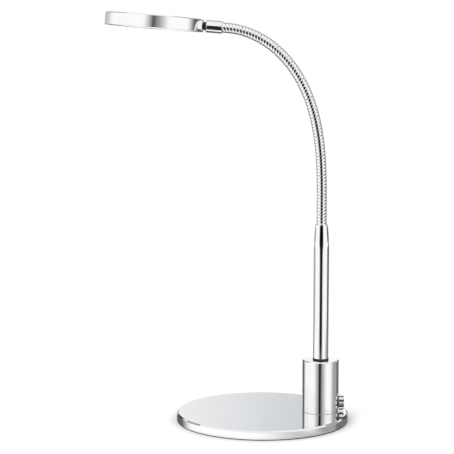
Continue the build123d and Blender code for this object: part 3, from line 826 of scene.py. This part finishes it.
class LAMP_OT_stem(LampStep, Operator):
    """Chromed stem, drawn in over its top to the mouth that holds the neck"""

    bl_idname = "lamp.stem"
    bl_label = "Stem"

    def execute(self, context):
        sizes = context.scene.lamp_sizes
        soft = sizes.rounding
        low, high = local_box("stem_tube", COLUMN_PLACE)
        outside = high.y
        thread_end = low.z + sizes.stem_thread_depth
        taper_foot = high.z - sizes.stem_taper
        rise = sizes.stem_taper - sizes.stem_mouth_edge
        drawn_in = outside - sizes.stem_mouth
        arc_radius = (rise**2 + drawn_in**2) / (2 * drawn_in)
        arc_turn = asin(rise / arc_radius)
        corners = [(sizes.stem_thread, low.z), (outside, low.z, 2 * soft)]
        for step in range(TAPER_STEPS + 1):
            angle = arc_turn * step / TAPER_STEPS
            radius = outside - arc_radius * (1 - cos(angle))
            corners.append((radius, taper_foot + arc_radius * sin(angle), 0))
        corners += [
            (sizes.stem_mouth - sizes.stem_mouth_edge, high.z),
            (sizes.stem_socket, high.z),
            (sizes.stem_socket, taper_foot),
            (sizes.stem_bore, taper_foot),
            (sizes.stem_bore, thread_end),
            (sizes.stem_thread, thread_end),
        ]
        pipe = turned_piece("stem_pipe", COLUMN_PLACE, corners)
        dress(pipe, polished_chrome, "base", "chrome", "stem_tube")
        return {"FINISHED"}


def neck_at(place):
    """Centre of the neck, and the direction across it in its own plane.

    place counts links from the stem's mouth.
    """
    corner = min(max(round(place), 1), len(HINGES))
    before, hinge, after = NECK_POINTS[corner - 1 : corner + 2]
    start = middle(before, hinge)
    end = middle(hinge, after)
    share = place - corner + 0.5
    on_curve = min(max(share, 0.0), 1.0)
    rest = 1 - on_curve
    centre = start * rest**2 + hinge * (2 * on_curve * rest) + end * on_curve**2
    along = (hinge - start) * (2 * rest) + (end - hinge) * (2 * on_curve)
    return centre + along * (share - on_curve), SIDE.cross(along).normalized()


class NeckSpan:
    """Part of the neck between two bend hinges, with a sway hinge half way. The first is the fixed link."""

    def __init__(self, number):
        self.number = number
        self.starts_neck = number == 1
        self.ends_neck = number == SPAN_COUNT
        self.first = max(2 * number - 3, 0)
        self.last = 2 * number - 1

    def places(self, cut_back, neck_start, neck_end):
        """First and last place of a piece, cut back at bend hinges, and as given at the neck's own ends."""
        first = neck_start if self.starts_neck else self.first + cut_back
        last = neck_end if self.ends_neck else self.last - cut_back
        return first, last

    def piece(self, name, rows, recipe, slot, margin, groove=()):
        """Piece through rows of points, each a closed loop, with a cap on both ends.

        The neck's first span goes with the base's body, and the others stay where they are made; the ends
        that margin sets back from the span's ends are worked out but not used.
        groove may give the depth of each point of a row in a groove.
        """
        name = f"{name}_{self.number:02d}"
        skin = bmesh.new()
        loops = [[skin.verts.new(point) for point in row] for row in rows]
        for loop, following in zip(loops, loops[1:]):
            for index in range(len(loop)):
                before = index - 1
                skin.faces.new((loop[before], loop[index], following[index], following[before]))
        skin.faces.new(loops[0])
        skin.faces.new(loops[-1])
        mesh = skin_mesh(name, skin)
        if groove:
            mark_grooves(mesh, groove * len(rows))
        mesh.materials.append(finish(recipe))
        piece = new_object(name, mesh)
        if self.starts_neck:
            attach(piece, "base")
        else:
            start = neck_at(self.first + margin)[0]
            end = neck_at(self.last - margin)[0]
            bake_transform(piece)
        return piece


NECK_SPANS = [NeckSpan(number) for number in range(1, SPAN_COUNT + 1)]


class LAMP_OT_gooseneck(LampStep, Operator):
    """Right-handed winding of the gooseneck, one piece to a span"""

    bl_idname = "lamp.gooseneck"
    bl_label = "Gooseneck"

    def wire_section(self, sizes):
        """Section of the wire as (share of the pitch, radius, depth in the groove), crown first."""
        section = []
        shoulder = sizes.neck_radius - sizes.wire_crown
        for step in range(WIRE_CROWN_STEPS + 1):
            across = -cos(pi * step / WIRE_CROWN_STEPS)
            fall = abs(across) ** WIRE_FLATNESS
            section.append((WIRE_SHARE * across, shoulder + sizes.wire_crown * (1 - fall), fall))
        inside = sizes.neck_radius - sizes.wire_depth
        section.append((WIRE_SHARE, inside, 1.0))
        section.append((-WIRE_SHARE, inside, 1.0))
        return section

    def execute(self, context):
        sizes = context.scene.lamp_sizes
        section = self.wire_section(sizes)
        # Depth in the groove, which the wire's finish darkens with dirt and painted shade
        depths = [depth for _, _, depth in section]
        turns = sizes.turns_per_link
        tail = sizes.neck_tail / LINK_LENGTH
        half_pitch = LINK_LENGTH / (2 * turns)
        cut_back = END_SPARE * HINGE_ROOM * half_pitch / (tau * sizes.neck_radius * turns)
        for span in NECK_SPANS:
            first, last = span.places(cut_back, span.first - tail, span.last + tail)
            steps = round((last - first) * turns * WIRE_STEPS_PER_TURN)
            rows = []
            for step in range(steps + 1):
                place = first + (last - first) * step / steps
                angle = tau * (turns * place + WIRE_CUT)
                room = HINGE_ROOM * sizes.neck_radius * abs(cos(angle)) / LINK_LENGTH
                opens_before = not span.starts_neck and place < span.first + 1 / turns
                opens_after = not span.ends_neck and place > span.last - 1 / turns
                row = []
                for offset, radius, _ in section:
                    opens = opens_after if offset > 0 else opens_before
                    narrowed = room * offset / WIRE_SHARE if opens else 0.0
                    centre, across = neck_at(place + offset / turns - narrowed)
                    row.append(centre + across * (radius * cos(angle)) + SIDE * (radius * sin(angle)))
                rows.append(row)
            margin = 1 / (2 * turns)
            winding = span.piece("winding", rows, wound_chrome, "neck_winding", margin, depths)
            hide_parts(*[f"neck_{link + 1:02d}" for link in range(span.first, span.last)])
        return {"FINISHED"}


class LAMP_OT_supply_lead(LampStep, Operator):
    """Lead inside the stem and the neck, one piece to a span"""

    bl_idname = "lamp.supply_lead"
    bl_label = "Supply Lead"

    def execute(self, context):
        radius = context.scene.lamp_sizes.lead_radius
        lead_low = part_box("supply_lead")[0]
        lead_start = (lead_low.z - NECK_FOOT.z) / LINK_LENGTH
        head_run = (NECK_END.x - lead_low.x) / -HEAD_AXIS.x / LINK_LENGTH
        cut_back = END_SPARE * HINGE_ROOM * radius / LINK_LENGTH
        for span in NECK_SPANS:
            first, last = span.places(cut_back, lead_start, span.last + head_run)
            rows = []
            for step in range(LEAD_STEPS + 1):
                centre, across = neck_at(first + (last - first) * step / LEAD_STEPS)
                row = []
                for side in range(LEAD_SIDES):
                    angle = tau * side / LEAD_SIDES
                    row.append(centre + (across * cos(angle) + SIDE * sin(angle)) * radius)
                rows.append(row)
            core = span.piece("lead_core", rows, lead_jacket, "lead_sheath", 0.0)
            if span.starts_neck:
                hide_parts("supply_lead")
        return {"FINISHED"}


class LAMP_OT_ferrule(LampStep, Operator):
    """Chromed ferrule on the neck's end, and the dark spigot that the head turns on"""

    bl_idname = "lamp.ferrule"
    bl_label = "Ferrule and Spigot"

    def execute(self, context):
        sizes = context.scene.lamp_sizes
        soft = sizes.rounding
        edge = sizes.ferrule_edge
        low, high = local_box("neck_ferrule", FERRULE_PLACE)
        spigot_low, spigot_high = local_box("swivel_spigot", FERRULE_PLACE)
        seat_floor = spigot_low.z
        collar_end = high.z + sizes.spigot_collar_length
        sleeve = turned_piece("ferrule_sleeve", FERRULE_PLACE, (
            (sizes.stem_socket, low.z),
            (high.y - edge, low.z),
            (high.y, low.z + edge),
            (high.y, high.z - edge),
            (high.y - edge, high.z),
            (sizes.spigot_seat, high.z),
            (sizes.spigot_seat, seat_floor, 0),
            (sizes.spigot_bore, seat_floor, 0),
            (sizes.spigot_bore, seat_floor - soft, 0),
            (sizes.stem_socket, seat_floor - soft, 0),
        ))
        dress(sleeve, polished_chrome, "neck_link_25", "chrome", "neck_ferrule")

        spigot = turned_piece("spigot_collar", FERRULE_PLACE, (
            (sizes.spigot_bore, seat_floor, 0),
            (sizes.spigot_seat, seat_floor, 0),
            (sizes.spigot_seat, high.z, 0),
            (sizes.spigot_collar, high.z, soft / 2),
            (sizes.spigot_collar, collar_end),
            (sizes.spigot_journal, collar_end, 0),
            (sizes.spigot_journal, spigot_high.z),
            (sizes.spigot_bore, spigot_high.z, 0),
        ))
        dress(spigot, blackened_steel, "neck_link_25", "dark_steel", "swivel_spigot")
        return {"FINISHED"}


class LAMP_OT_head(LampStep, Operator):
    """Spun head, open below, and the ring that holds its opal plate"""

    bl_idname = "lamp.head"
    bl_label = "Head"

    def execute(self, context):
        sizes = context.scene.lamp_sizes
        soft = sizes.rounding
        edge = sizes.head_edge
        low, high = local_box("head_shell", HEAD_PLACE)
        plate_top = local_box("diffuser", HEAD_PLACE)[1].z
        inside = high.y - sizes.head_wall
        cavity = inside - sizes.head_ledge
        ceiling = high.z - sizes.head_roof
        cup = turned_piece("head_cup", HEAD_PLACE, (
            (0, high.z),
            (high.y - edge, high.z),
            (high.y, high.z - edge),
            (high.y, low.z),
            (inside, low.z),
            (inside, plate_top),
            (cavity, plate_top),
            (cavity, ceiling),
            (0, ceiling),
        ))
        centre = (FERRULE_PLACE.inverted() @ HEAD_PLACE.translation).z
        drill(cup, FERRULE_PLACE, sizes.head_hole, centre - high.y - soft, centre - cavity + soft)
        dress(cup, head_chrome, "head", "head_plating", "head_shell")

        low, high = local_box("bezel_ring", HEAD_PLACE)
        inner = high.y - sizes.bezel_width
        bezel = turned_ring("bezel_band", HEAD_PLACE, inner, low, high, soft / 2)
        dress(bezel, head_chrome, "head", "head_plating", "bezel_ring")
        return {"FINISHED"}


class LAMP_OT_opal_plate(LampStep, Operator):
    """Opal plate in the head's underside"""

    bl_idname = "lamp.opal_plate"
    bl_label = "Opal Plate"

    def execute(self, context):
        low, high = local_box("diffuser", HEAD_PLACE)
        corners = ((0, high.z), (high.y, high.z), (high.y, low.z), (0, low.z))
        plate = turned_piece("opal_plate", HEAD_PLACE, corners)
        dress(plate, opal_acrylic, "head", "opal", "diffuser")
        return {"FINISHED"}


class LAMP_OT_dimmer_knob(LampStep, Operator):
    """Fluted knob of the dimmer with its pointer groove"""

    bl_idname = "lamp.dimmer_knob"
    bl_label = "Dimmer Knob"

    def cut_pointer(self, wheel, sizes, outer_end, face):
        """Cuts the groove that points up into the knob's face."""
        groove = bmesh.new()
        bmesh.ops.create_cube(groove, size=1.0)
        groove_size = (sizes.pointer_length, sizes.pointer_width, 2 * sizes.pointer_depth)
        bmesh.ops.scale(groove, vec=groove_size, verts=groove.verts)
        upright = [edge for edge in groove.edges if abs((edge.verts[0].co - edge.verts[1].co).z) > TINY]
        bevel = sizes.pointer_width * POINTER_ROUNDING
        bmesh.ops.bevel(groove, geom=upright, offset=bevel, segments=ARC_STEPS, affect="EDGES")
        pointing_up = KNOB_PLACE.inverted().to_3x3() @ UP
        groove_middle = pointing_up * (outer_end - sizes.pointer_length / 2) + Vector((0, 0, face))
        turn = Matrix.Rotation(atan2(pointing_up.y, pointing_up.x), 4, "Z")
        groove_place = KNOB_PLACE @ Matrix.Translation(groove_middle) @ turn
        cut(wheel, new_object("groove", skin_mesh("groove", groove), groove_place))

    def execute(self, context):
        sizes = context.scene.lamp_sizes
        soft = sizes.rounding
        edge = sizes.knob_edge
        low, high = local_box("dimmer_knob", KNOB_PLACE)
        shaft_high = local_box("dimmer_shaft", KNOB_PLACE)[1]
        outside = high.y
        recess = outside - sizes.knob_wall
        recess_floor = low.z + sizes.knob_recess
        flute_floor = outside - sizes.flute_depth
        flute_circle = flute_floor + sizes.flute_radius

        def fluted(radius, angle):
            """Radius of the wheel at an angle, drawn in where a flute is cut."""
            turn = angle * sizes.flute_count / tau
            aside = (turn % 1 - 0.5) * tau / sizes.flute_count
            reach = sizes.flute_radius**2 - (flute_circle * sin(aside)) ** 2
            if reach <= 0:
                return radius
            return min(radius, flute_circle * cos(aside) - sqrt(reach))

        corners = (
            (shaft_high.y, shaft_high.z, 0),
            (0, shaft_high.z),
            (0, high.z),
            (flute_floor - soft, high.z, 0),
            (outside - edge, high.z),
            (outside, high.z - edge),
            (outside, low.z, soft / 2),
            (recess, low.z, soft / 2),
            (recess, recess_floor),
            (shaft_high.y, recess_floor, 0),
        )
        wheel_steps = sizes.flute_count * FLUTE_STEPS
        wheel = turned_piece("knob_wheel", KNOB_PLACE, corners, wheel_steps, fluted)
        self.cut_pointer(wheel, sizes, flute_floor - edge, high.z)
        # Depth in the flutes, which the knob's finish paints black as painted shade
        depths = []
        for vertex in wheel.data.vertices:
            flute = fluted(outside, atan2(vertex.co.y, vertex.co.x))
            in_flute = vertex.co.xy.length > flute - TINY
            depths.append((outside - flute) / sizes.flute_depth if in_flute else 0.0)
        mark_grooves(wheel.data, depths)
        dress(wheel, fluted_chrome, "knob", "chrome", "dimmer_knob")
        return {"FINISHED"}


class LAMP_OT_inner_works(LampStep, Operator):
    """Finishes of the pieces inside the lamp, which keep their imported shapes"""

    bl_idname = "lamp.inner_works"
    bl_label = "Inner Works"

    def execute(self, context):
        recipes = {
            cast_ballast: ("base_weight",),
            zinc_plate: (
                "base_screws",
                "pot_nut",
                "nipple_washer",
                "nipple_nut",
                "wave_washer",
                "retaining_clip",
                "board_screws",
            ),
            cast_alloy: ("column_foot", "swivel_block"),
            nipple_brass: ("stem_nipple", "dimmer_shaft"),
            moulded_black: ("dimmer_pot", "board_terminal", "lead_terminal"),
            green_mask: ("dimmer_board",),
            white_mask: ("led_board",),
            led_phosphor: ("led_chips",),
        }
        for recipe, nodes in recipes.items():
            for node in nodes:
                mesh = frame["nodes"][node].data
                mesh.materials.clear()
                mesh.materials.append(finish(recipe))
        return {"FINISHED"}


# Camera that took the photograph: place, pitch below the horizon and lens
CAMERA_PLACE = (-0.03513, -1.47386, 0.35767)
CAMERA_PITCH = 0.111
CAMERA_LENS = 119.4

# Soft lamp overhead, and the even light of the room
LAMP_PLACE = (-0.9, -1.0, 1.9)
LAMP_TARGET = (0.0, 0.0, 0.15)
LAMP_SIZE = 1.4
LAMP_WATTS = 12.0
ROOM_LIGHT = (0.8, 0.8, 0.8)

# A pair from here on is where a change starts and where it is full.
# This one counts mirrors: the stage shows its details to rays that have met only one.
FIRST_MIRROR = (1.9, 1.1)

# Floor: radii of the shadow painted black under the lamp's base, radii over which a little lift comes in,
# which leaves a painted shadow close round the base, and radii where it fades to plain white
FLOOR_HALF = 6.0
FLOOR_PAINTED_SHADOW_RADII = (0.0835, 0.0855)
FLOOR_SHADOW_PAINT = (0.02, 0.02, 0.02)
FLOOR_LIFT = 0.2
FLOOR_LIFT_SHADOW_RADII = (0.086, 0.1)
FLOOR_FADE = (0.16, 0.5)

# Mirrors close over the floor show it in front of the base, with painted shade that darkens it towards the
# right
FLOOR_MIRRORED_REACH = (0.06, 0.05)
FLOOR_MIRRORED_SIDE = (0.08, 0.05)
FLOOR_MIRRORED_FRONT = (-0.04, -0.07)
FLOOR_MIRRORED_SHADE = (-0.02, 0.055)
FLOOR_MIRRORED_DEPTH = 0.45

# Screen in front of the lamp, brighter to the left and right of the dark gap that the camera looks through.
# Each side has its direction, where it starts, how far it takes to turn white and how steeply it starts.
SCREEN_PLACE = (-0.035, -0.664, 0.0)
SCREEN_HALF = 0.5
SCREEN_HEIGHTS = (-0.9, 0.57)
SCREEN_GAP = (0.005, 0.005, 0.005)
SCREEN_SIDES = ((-1, 0.045, 0.55, 0.6), (1, 0.045, 0.52, 0.75))

# Away from one height the gap is wider, and over another it widens further
SCREEN_NARROW_HEIGHT = -0.11
SCREEN_NARROW_HALF = (0.04, 0.058)
SCREEN_WIDE_SIDES = ((-1, 0.13, 0.25, 0.8), (1, 0.19, 0.24, 0.8))
SCREEN_WIDENING = 0.12
SCREEN_WIDENED_HEIGHTS = (0.06, 0.14)

# A leaning strip of the screen is what the head's rim mirrors
SCREEN_HEAD_SIDES = ((-1, 0.07, 0.25, 0.75), (1, -0.1, 0.47, 1.0))
SCREEN_HEAD_HEIGHTS = ((0.379, 0.383), (0.427, 0.423))
SCREEN_HEAD_LEAN = 0.09

# Cards that only mirrors under them show, which keep the gap out of level tops:
# left, right, front, back and height
CARDS = ((-0.3, 0.3, -0.66, -0.02, 0.08), (-0.25, -0.065, -0.66, -0.02, 0.46))
CARD_SHADING = (-0.6, -0.1)
CARD_FRONT = (0.66, 0.67, 0.69)
CARD_BACK = (0.9, 0.9, 0.9)

# Black flag close before the neck: where it stands, and its corners' places across and heights
FLAG_PLACE = -0.1
FLAG_CORNERS = (
    (0.0245, 0.178),
    (0.096, 0.178),
    (0.096, 0.30),
    (0.085, 0.362),
    (0.0, 0.362),
    (0.0, 0.34),
    (0.0175, 0.30),
)

# Shades at the studio's sides, for the pieces that mirror them: two azimuths in degrees, and a depth
COLUMN_SHADES = ((56.0, 90.0, 0.63), (110.0, 121.0, 0.2), (-108.0, -142.0, 0.88))
STEM_SHADES = ((82.0, 112.0, 0.9), (-95.0, -115.0, 0.62))
NECK_SHADES = ((106.0, 126.0, 0.75), (-112.0, -130.0, 0.5))
HEAD_SHADES = ((84.0, 98.0, 0.40), (125.0, 145.0, 0.12), (-105.0, -140.0, 0.42))
BENEATH_SHADES = ((60.0, 74.0, 0.92), (-92.0, -108.0, 0.6))

# Levels of those shades, in degrees of elevation
COLUMN_BELOW = (-9.5, -11.2)
COLUMN_ABOVE = (8.0, 11.0)
NECK_LEVEL = ((-6.3, -5.7), (-4.2, -4.6))
HEAD_LEVEL = (-1.0, 1.0)
BENEATH_LEVEL = (-14.0, -16.0)
SIDES_TOP = (24.0, 16.0)
OVERHEAD = (40.0, 65.0)

# Faint grey higher up, deeper at the sides and behind
UPPER_LEVEL = (10.0, 16.0)
UPPER_DEPTH = 0.06
UPPER_SIDES = (80.0, 100.0)
UPPER_SIDES_DEPTH = 0.12

# White window behind the lamp, and a wall over it that turns grey to the right and then white
WINDOW_SIDES = (155.0, 167.0)
WINDOW_LEVEL = (7.0, 10.0)
WALL_LEVEL = (11.6, 12.3)
WALL_SHADING = (-0.08, 0.1)
WALL_END = (0.062, 0.07)
WALL_LEFT = (0.93, 0.935, 0.94)
WALL_RIGHT = (0.565, 0.59, 0.63)

# Dark corners beside the window, and a dark ledge round the sides and the back
CORNER_SIDES = ((138.0, 146.0), (170.0, 160.0))
CORNER_LEVEL = (3.0, 8.0)
CORNER_DEPTH = 0.75
LEDGE_SIDES = (106.0, 118.0)
LEDGE_LEVEL = (24.0, 29.0)
LEDGE_DEPTH = 0.55
CORNICE_TOP = (75.0, 60.0)


def pale_floor(graph, colours):
    """Floor that keeps the shadow and is mirrored only close round the base's front, with a painted shadow
    under and close round the base, and painted shade on its mirrored image towards the right.
    """
    across, along, _ = graph.parts()
    radius = graph.radius(across, along)
    paper = graph.mix(graph.noise(90.0, 4.0), colours.floor, shade(colours.floor, 0.985))
    # The floor is painted black under the base as its shadow, and its lift is left off close round the base
    # as painted shadow
    shader = graph.principled(
        Base_Color=graph.mix(graph.ramp(radius, FLOOR_PAINTED_SHADOW_RADII), FLOOR_SHADOW_PAINT, paper),
        Roughness=0.9,
        Specular_IOR_Level=0.0,
        Emission_Color=graph.mix(graph.ramp(radius, FLOOR_LIFT_SHADOW_RADII), BLACK, WHITE),
        Emission_Strength=FLOOR_LIFT,
    )
    faded = graph.blend(graph.ramp(radius, FLOOR_FADE), shader, graph.light(WHITE))
    glossy = graph.add("ShaderNodeLightPath", output="Is Glossy Ray")
    near = graph.ramp(glossy.beside("Ray Length"), FLOOR_MIRRORED_REACH)
    near = near * graph.ramp(across, FLOOR_MIRRORED_SIDE) * graph.ramp(along, FLOOR_MIRRORED_FRONT)
    # Painted shade: the floor's mirrored image darkens towards the right
    dark = graph.ramp(across, FLOOR_MIRRORED_SHADE) * FLOOR_MIRRORED_DEPTH
    shaded = graph.blend(dark, shader, graph.light(BLACK))
    mirrored = graph.blend(near, graph.clear(), shaded)
    graph.show(graph.blend(glossy, faded, mirrored))


def first_mirror(graph):
    """1 for a ray that has been mirrored once, and 0 for one that has been mirrored more often."""
    return graph.ramp(graph.add("ShaderNodeLightPath", output="Glossy Depth"), FIRST_MIRROR)


def gapped_screen(graph, colours):
    """White screen, shaded towards a dark gap in its middle."""
    across, _, height = graph.parts()
    first = first_mirror(graph)
    head = first * graph.ramp(height + across * SCREEN_HEAD_LEAN, *SCREEN_HEAD_HEIGHTS)
    wide = first * graph.ramp(abs(height - SCREEN_NARROW_HEIGHT), SCREEN_NARROW_HALF)
    widening = graph.ramp(height, SCREEN_WIDENED_HEIGHTS) * SCREEN_WIDENING

    def rise(sides, widening=0.0):
        """Light beyond both sides of the gap."""
        light = 0.0
        for side, start, span, power in sides:
            beyond = graph.larger(across * side - start - widening, 0.0)
            light = (beyond / span) ** power + light
        return graph.maths("MINIMUM", light, 1.0)

    light = graph.between(wide, rise(SCREEN_SIDES), rise(SCREEN_WIDE_SIDES, widening))
    light = graph.between(head, light, rise(SCREEN_HEAD_SIDES))
    graph.show(graph.light(graph.mix(light, SCREEN_GAP, WHITE)))


def pale_card(graph, colours):
    """Card that is clear from above, and also from below once a ray has been mirrored twice."""
    along = graph.parts()[1]
    above = graph.add("ShaderNodeNewGeometry", output="Backfacing")
    paper = graph.light(graph.mix(graph.ramp(along, CARD_SHADING), CARD_FRONT, CARD_BACK))
    graph.show(graph.blend(first_mirror(graph) * (1 - above), graph.clear(), paper))


def black_flag(graph, colours):
    """Flag that is clear once a ray has been mirrored twice."""
    graph.show(graph.blend(first_mirror(graph), graph.clear(), graph.light(BLACK)))


def studio_light(graph):
    """World: white to the camera, even light on the lamp, and in mirrors a white tent with darker sides."""
    x, y, z = graph.parts(graph.add("ShaderNodeTexCoord", output="Generated"))
    azimuth = graph.maths("DEGREES", graph.maths("ARCTAN2", x, 0.0 - y))
    elevation = graph.maths("DEGREES", graph.maths("ARCSINE", z))
    aside = abs(azimuth)
    under_top = 1 - graph.ramp(elevation, OVERHEAD)

    def shades(rows):
        """Sum of the shades of some rows."""
        return sum(graph.ramp(azimuth, (start, full)) * depth for start, full, depth in rows)

    column = graph.larger(graph.ramp(elevation, COLUMN_BELOW), graph.ramp(elevation, COLUMN_ABOVE))
    sides = graph.between(graph.ramp(elevation, *NECK_LEVEL), shades(STEM_SHADES), shades(NECK_SHADES))
    sides = graph.between(graph.ramp(elevation, HEAD_LEVEL), sides, shades(HEAD_SHADES))
    sides = graph.between(column, sides, shades(COLUMN_SHADES))
    sides = sides * graph.ramp(elevation, SIDES_TOP) * under_top
    beneath = shades(BENEATH_SHADES) * graph.ramp(elevation, BENEATH_LEVEL)
    upper = UPPER_DEPTH + graph.ramp(aside, UPPER_SIDES) * under_top * UPPER_SIDES_DEPTH
    upper = upper * graph.ramp(elevation, UPPER_LEVEL)
    dark = graph.larger(graph.larger(sides, beneath), upper)

    wall = graph.mix(graph.ramp(x, WALL_SHADING), WALL_LEFT, WALL_RIGHT)
    wall = graph.mix(graph.ramp(x, WALL_END), wall, WHITE)
    window = graph.mix(graph.ramp(elevation, WALL_LEVEL), WHITE, wall)
    behind = graph.ramp(aside, WINDOW_SIDES) * graph.ramp(elevation, WINDOW_LEVEL) * under_top
    tent = graph.mix(behind, graph.mix(dark, WHITE, BLACK), window)

    corners = graph.ramp(aside, *CORNER_SIDES) * graph.ramp(elevation, CORNER_LEVEL) * CORNER_DEPTH
    ledge = graph.ramp(aside, LEDGE_SIDES) * graph.ramp(elevation, LEDGE_LEVEL) * LEDGE_DEPTH
    cornice = graph.larger(corners, ledge) * graph.ramp(elevation, CORNICE_TOP)
    mirrored = graph.mix(cornice, tent, BLACK)

    path = graph.add("ShaderNodeLightPath", output="Is Camera Ray")
    seen = graph.larger(path.beside("Is Glossy Ray"), path.beside("Is Transmission Ray"))
    shown = graph.mix(path, graph.mix(seen, ROOM_LIGHT, mirrored), WHITE)
    background = graph.add("ShaderNodeBackground", None, {"Color": shown, "Strength": 1.0})
    graph.add("ShaderNodeOutputWorld", None, {"Surface": background})


def oblong(left, right, low, high):
    """Corners of a rectangle."""
    return (left, low), (right, low), (right, high), (left, high)


def sheet(name, recipe, corners, place=(0, 0, 0)):
    """Flat piece of the stage through its corners."""
    mesh = bpy.data.meshes.new(name)
    mesh.from_pydata(corners, [], [range(len(corners))])
    mesh.materials.append(finish(recipe))
    made = new_object(name, mesh, Matrix.Translation(place))
    return made


def mirror_sheet(*details):
    """Sheet that mirrors show and nothing else does."""
    made = sheet(*details)
    made.visible_camera = False
    made.visible_diffuse = False
    made.visible_transmission = False
    made.visible_shadow = False


class LAMP_OT_stage(LampStep, Operator):
    """Camera, soft lamp, pale floor, and the white studio that the chrome mirrors"""

    bl_idname = "lamp.stage"
    bl_label = "Stage"

    def camera(self):
        camera = bpy.data.objects.new("camera", bpy.data.cameras.new("camera"))
        camera.data.lens = CAMERA_LENS
        camera.location = CAMERA_PLACE
        camera.rotation_euler = (pi / 2 - CAMERA_PITCH, 0, 0)
        bpy.context.scene.collection.objects.link(camera)
        bpy.context.scene.camera = camera
        bpy.context.scene.view_settings.view_transform = "Standard"

    def lamp(self):
        lamp = bpy.data.objects.new("soft_lamp", bpy.data.lights.new("soft_lamp", "AREA"))
        lamp.data.size = LAMP_SIZE
        lamp.data.energy = LAMP_WATTS
        lamp.location = LAMP_PLACE
        lamp.rotation_euler = (Vector(LAMP_TARGET) - lamp.location).to_track_quat("-Z", "Y").to_euler()
        lamp.visible_glossy = False
        bpy.context.scene.collection.objects.link(lamp)

    def sheets(self):
        """Floor, screen, cards that face down, and flag."""
        floor = oblong(-FLOOR_HALF, FLOOR_HALF, -FLOOR_HALF, FLOOR_HALF)
        sheet("floor", pale_floor, [(x, y, 0) for x, y in floor])
        screen = oblong(-SCREEN_HALF, SCREEN_HALF, *SCREEN_HEIGHTS)
        mirror_sheet("screen", gapped_screen, [(x, 0, z) for x, z in screen], SCREEN_PLACE)
        for *sides, height in CARDS:
            card = reversed(oblong(*sides))
            mirror_sheet("card", pale_card, [(x, y, height) for x, y in card])
        mirror_sheet("flag", black_flag, [(x, FLAG_PLACE, z) for x, z in FLAG_CORNERS])

    def studio(self):
        world = bpy.data.worlds.new("studio")
        world.use_nodes = True
        studio_light(Graph(world.node_tree))
        bpy.context.scene.world = world

    def execute(self, context):
        self.camera()
        self.lamp()
        self.sheets()
        self.studio()
        return {"FINISHED"}


OPERATORS = (
    LAMP_OT_stage,
    LAMP_OT_base_dish,
    LAMP_OT_rubber_parts,
    LAMP_OT_column,
    LAMP_OT_stem,
    LAMP_OT_gooseneck,
    LAMP_OT_supply_lead,
    LAMP_OT_ferrule,
    LAMP_OT_head,
    LAMP_OT_opal_plate,
    LAMP_OT_dimmer_knob,
    LAMP_OT_inner_works,
)


class LAMP_PT_panel(Panel):
    """Sidebar panel with the lamp's pieces, sizes and colours"""

    bl_idname = "LAMP_PT_panel"
    bl_label = "Gooseneck Table Lamp"
    bl_space_type = "VIEW_3D"
    bl_region_type = "UI"
    bl_category = "Lamp"

    def draw(self, context):
        for operator in OPERATORS:
            self.layout.operator(operator.bl_idname)
        for group in (context.scene.lamp_sizes, context.scene.lamp_colours):
            box = self.layout.box()
            for name in group.__annotations__:
                box.prop(group, name)


CLASSES = (LampSizes, LampColours, *OPERATORS, LAMP_PT_panel)


def register():
    for cls in CLASSES:
        bpy.utils.register_class(cls)
    bpy.types.Scene.lamp_sizes = PointerProperty(type=LampSizes)
    bpy.types.Scene.lamp_colours = PointerProperty(type=LampColours)


def unregister():
    del bpy.types.Scene.lamp_colours
    del bpy.types.Scene.lamp_sizes
    for cls in reversed(CLASSES):
        bpy.utils.unregister_class(cls)


def main():
    """Builds the lamp and its stage."""
    register()
    for operator in OPERATORS:
        group, name = operator.bl_idname.split(".")
        getattr(getattr(bpy.ops, group), name)()


if __name__ == "__main__":
    main()
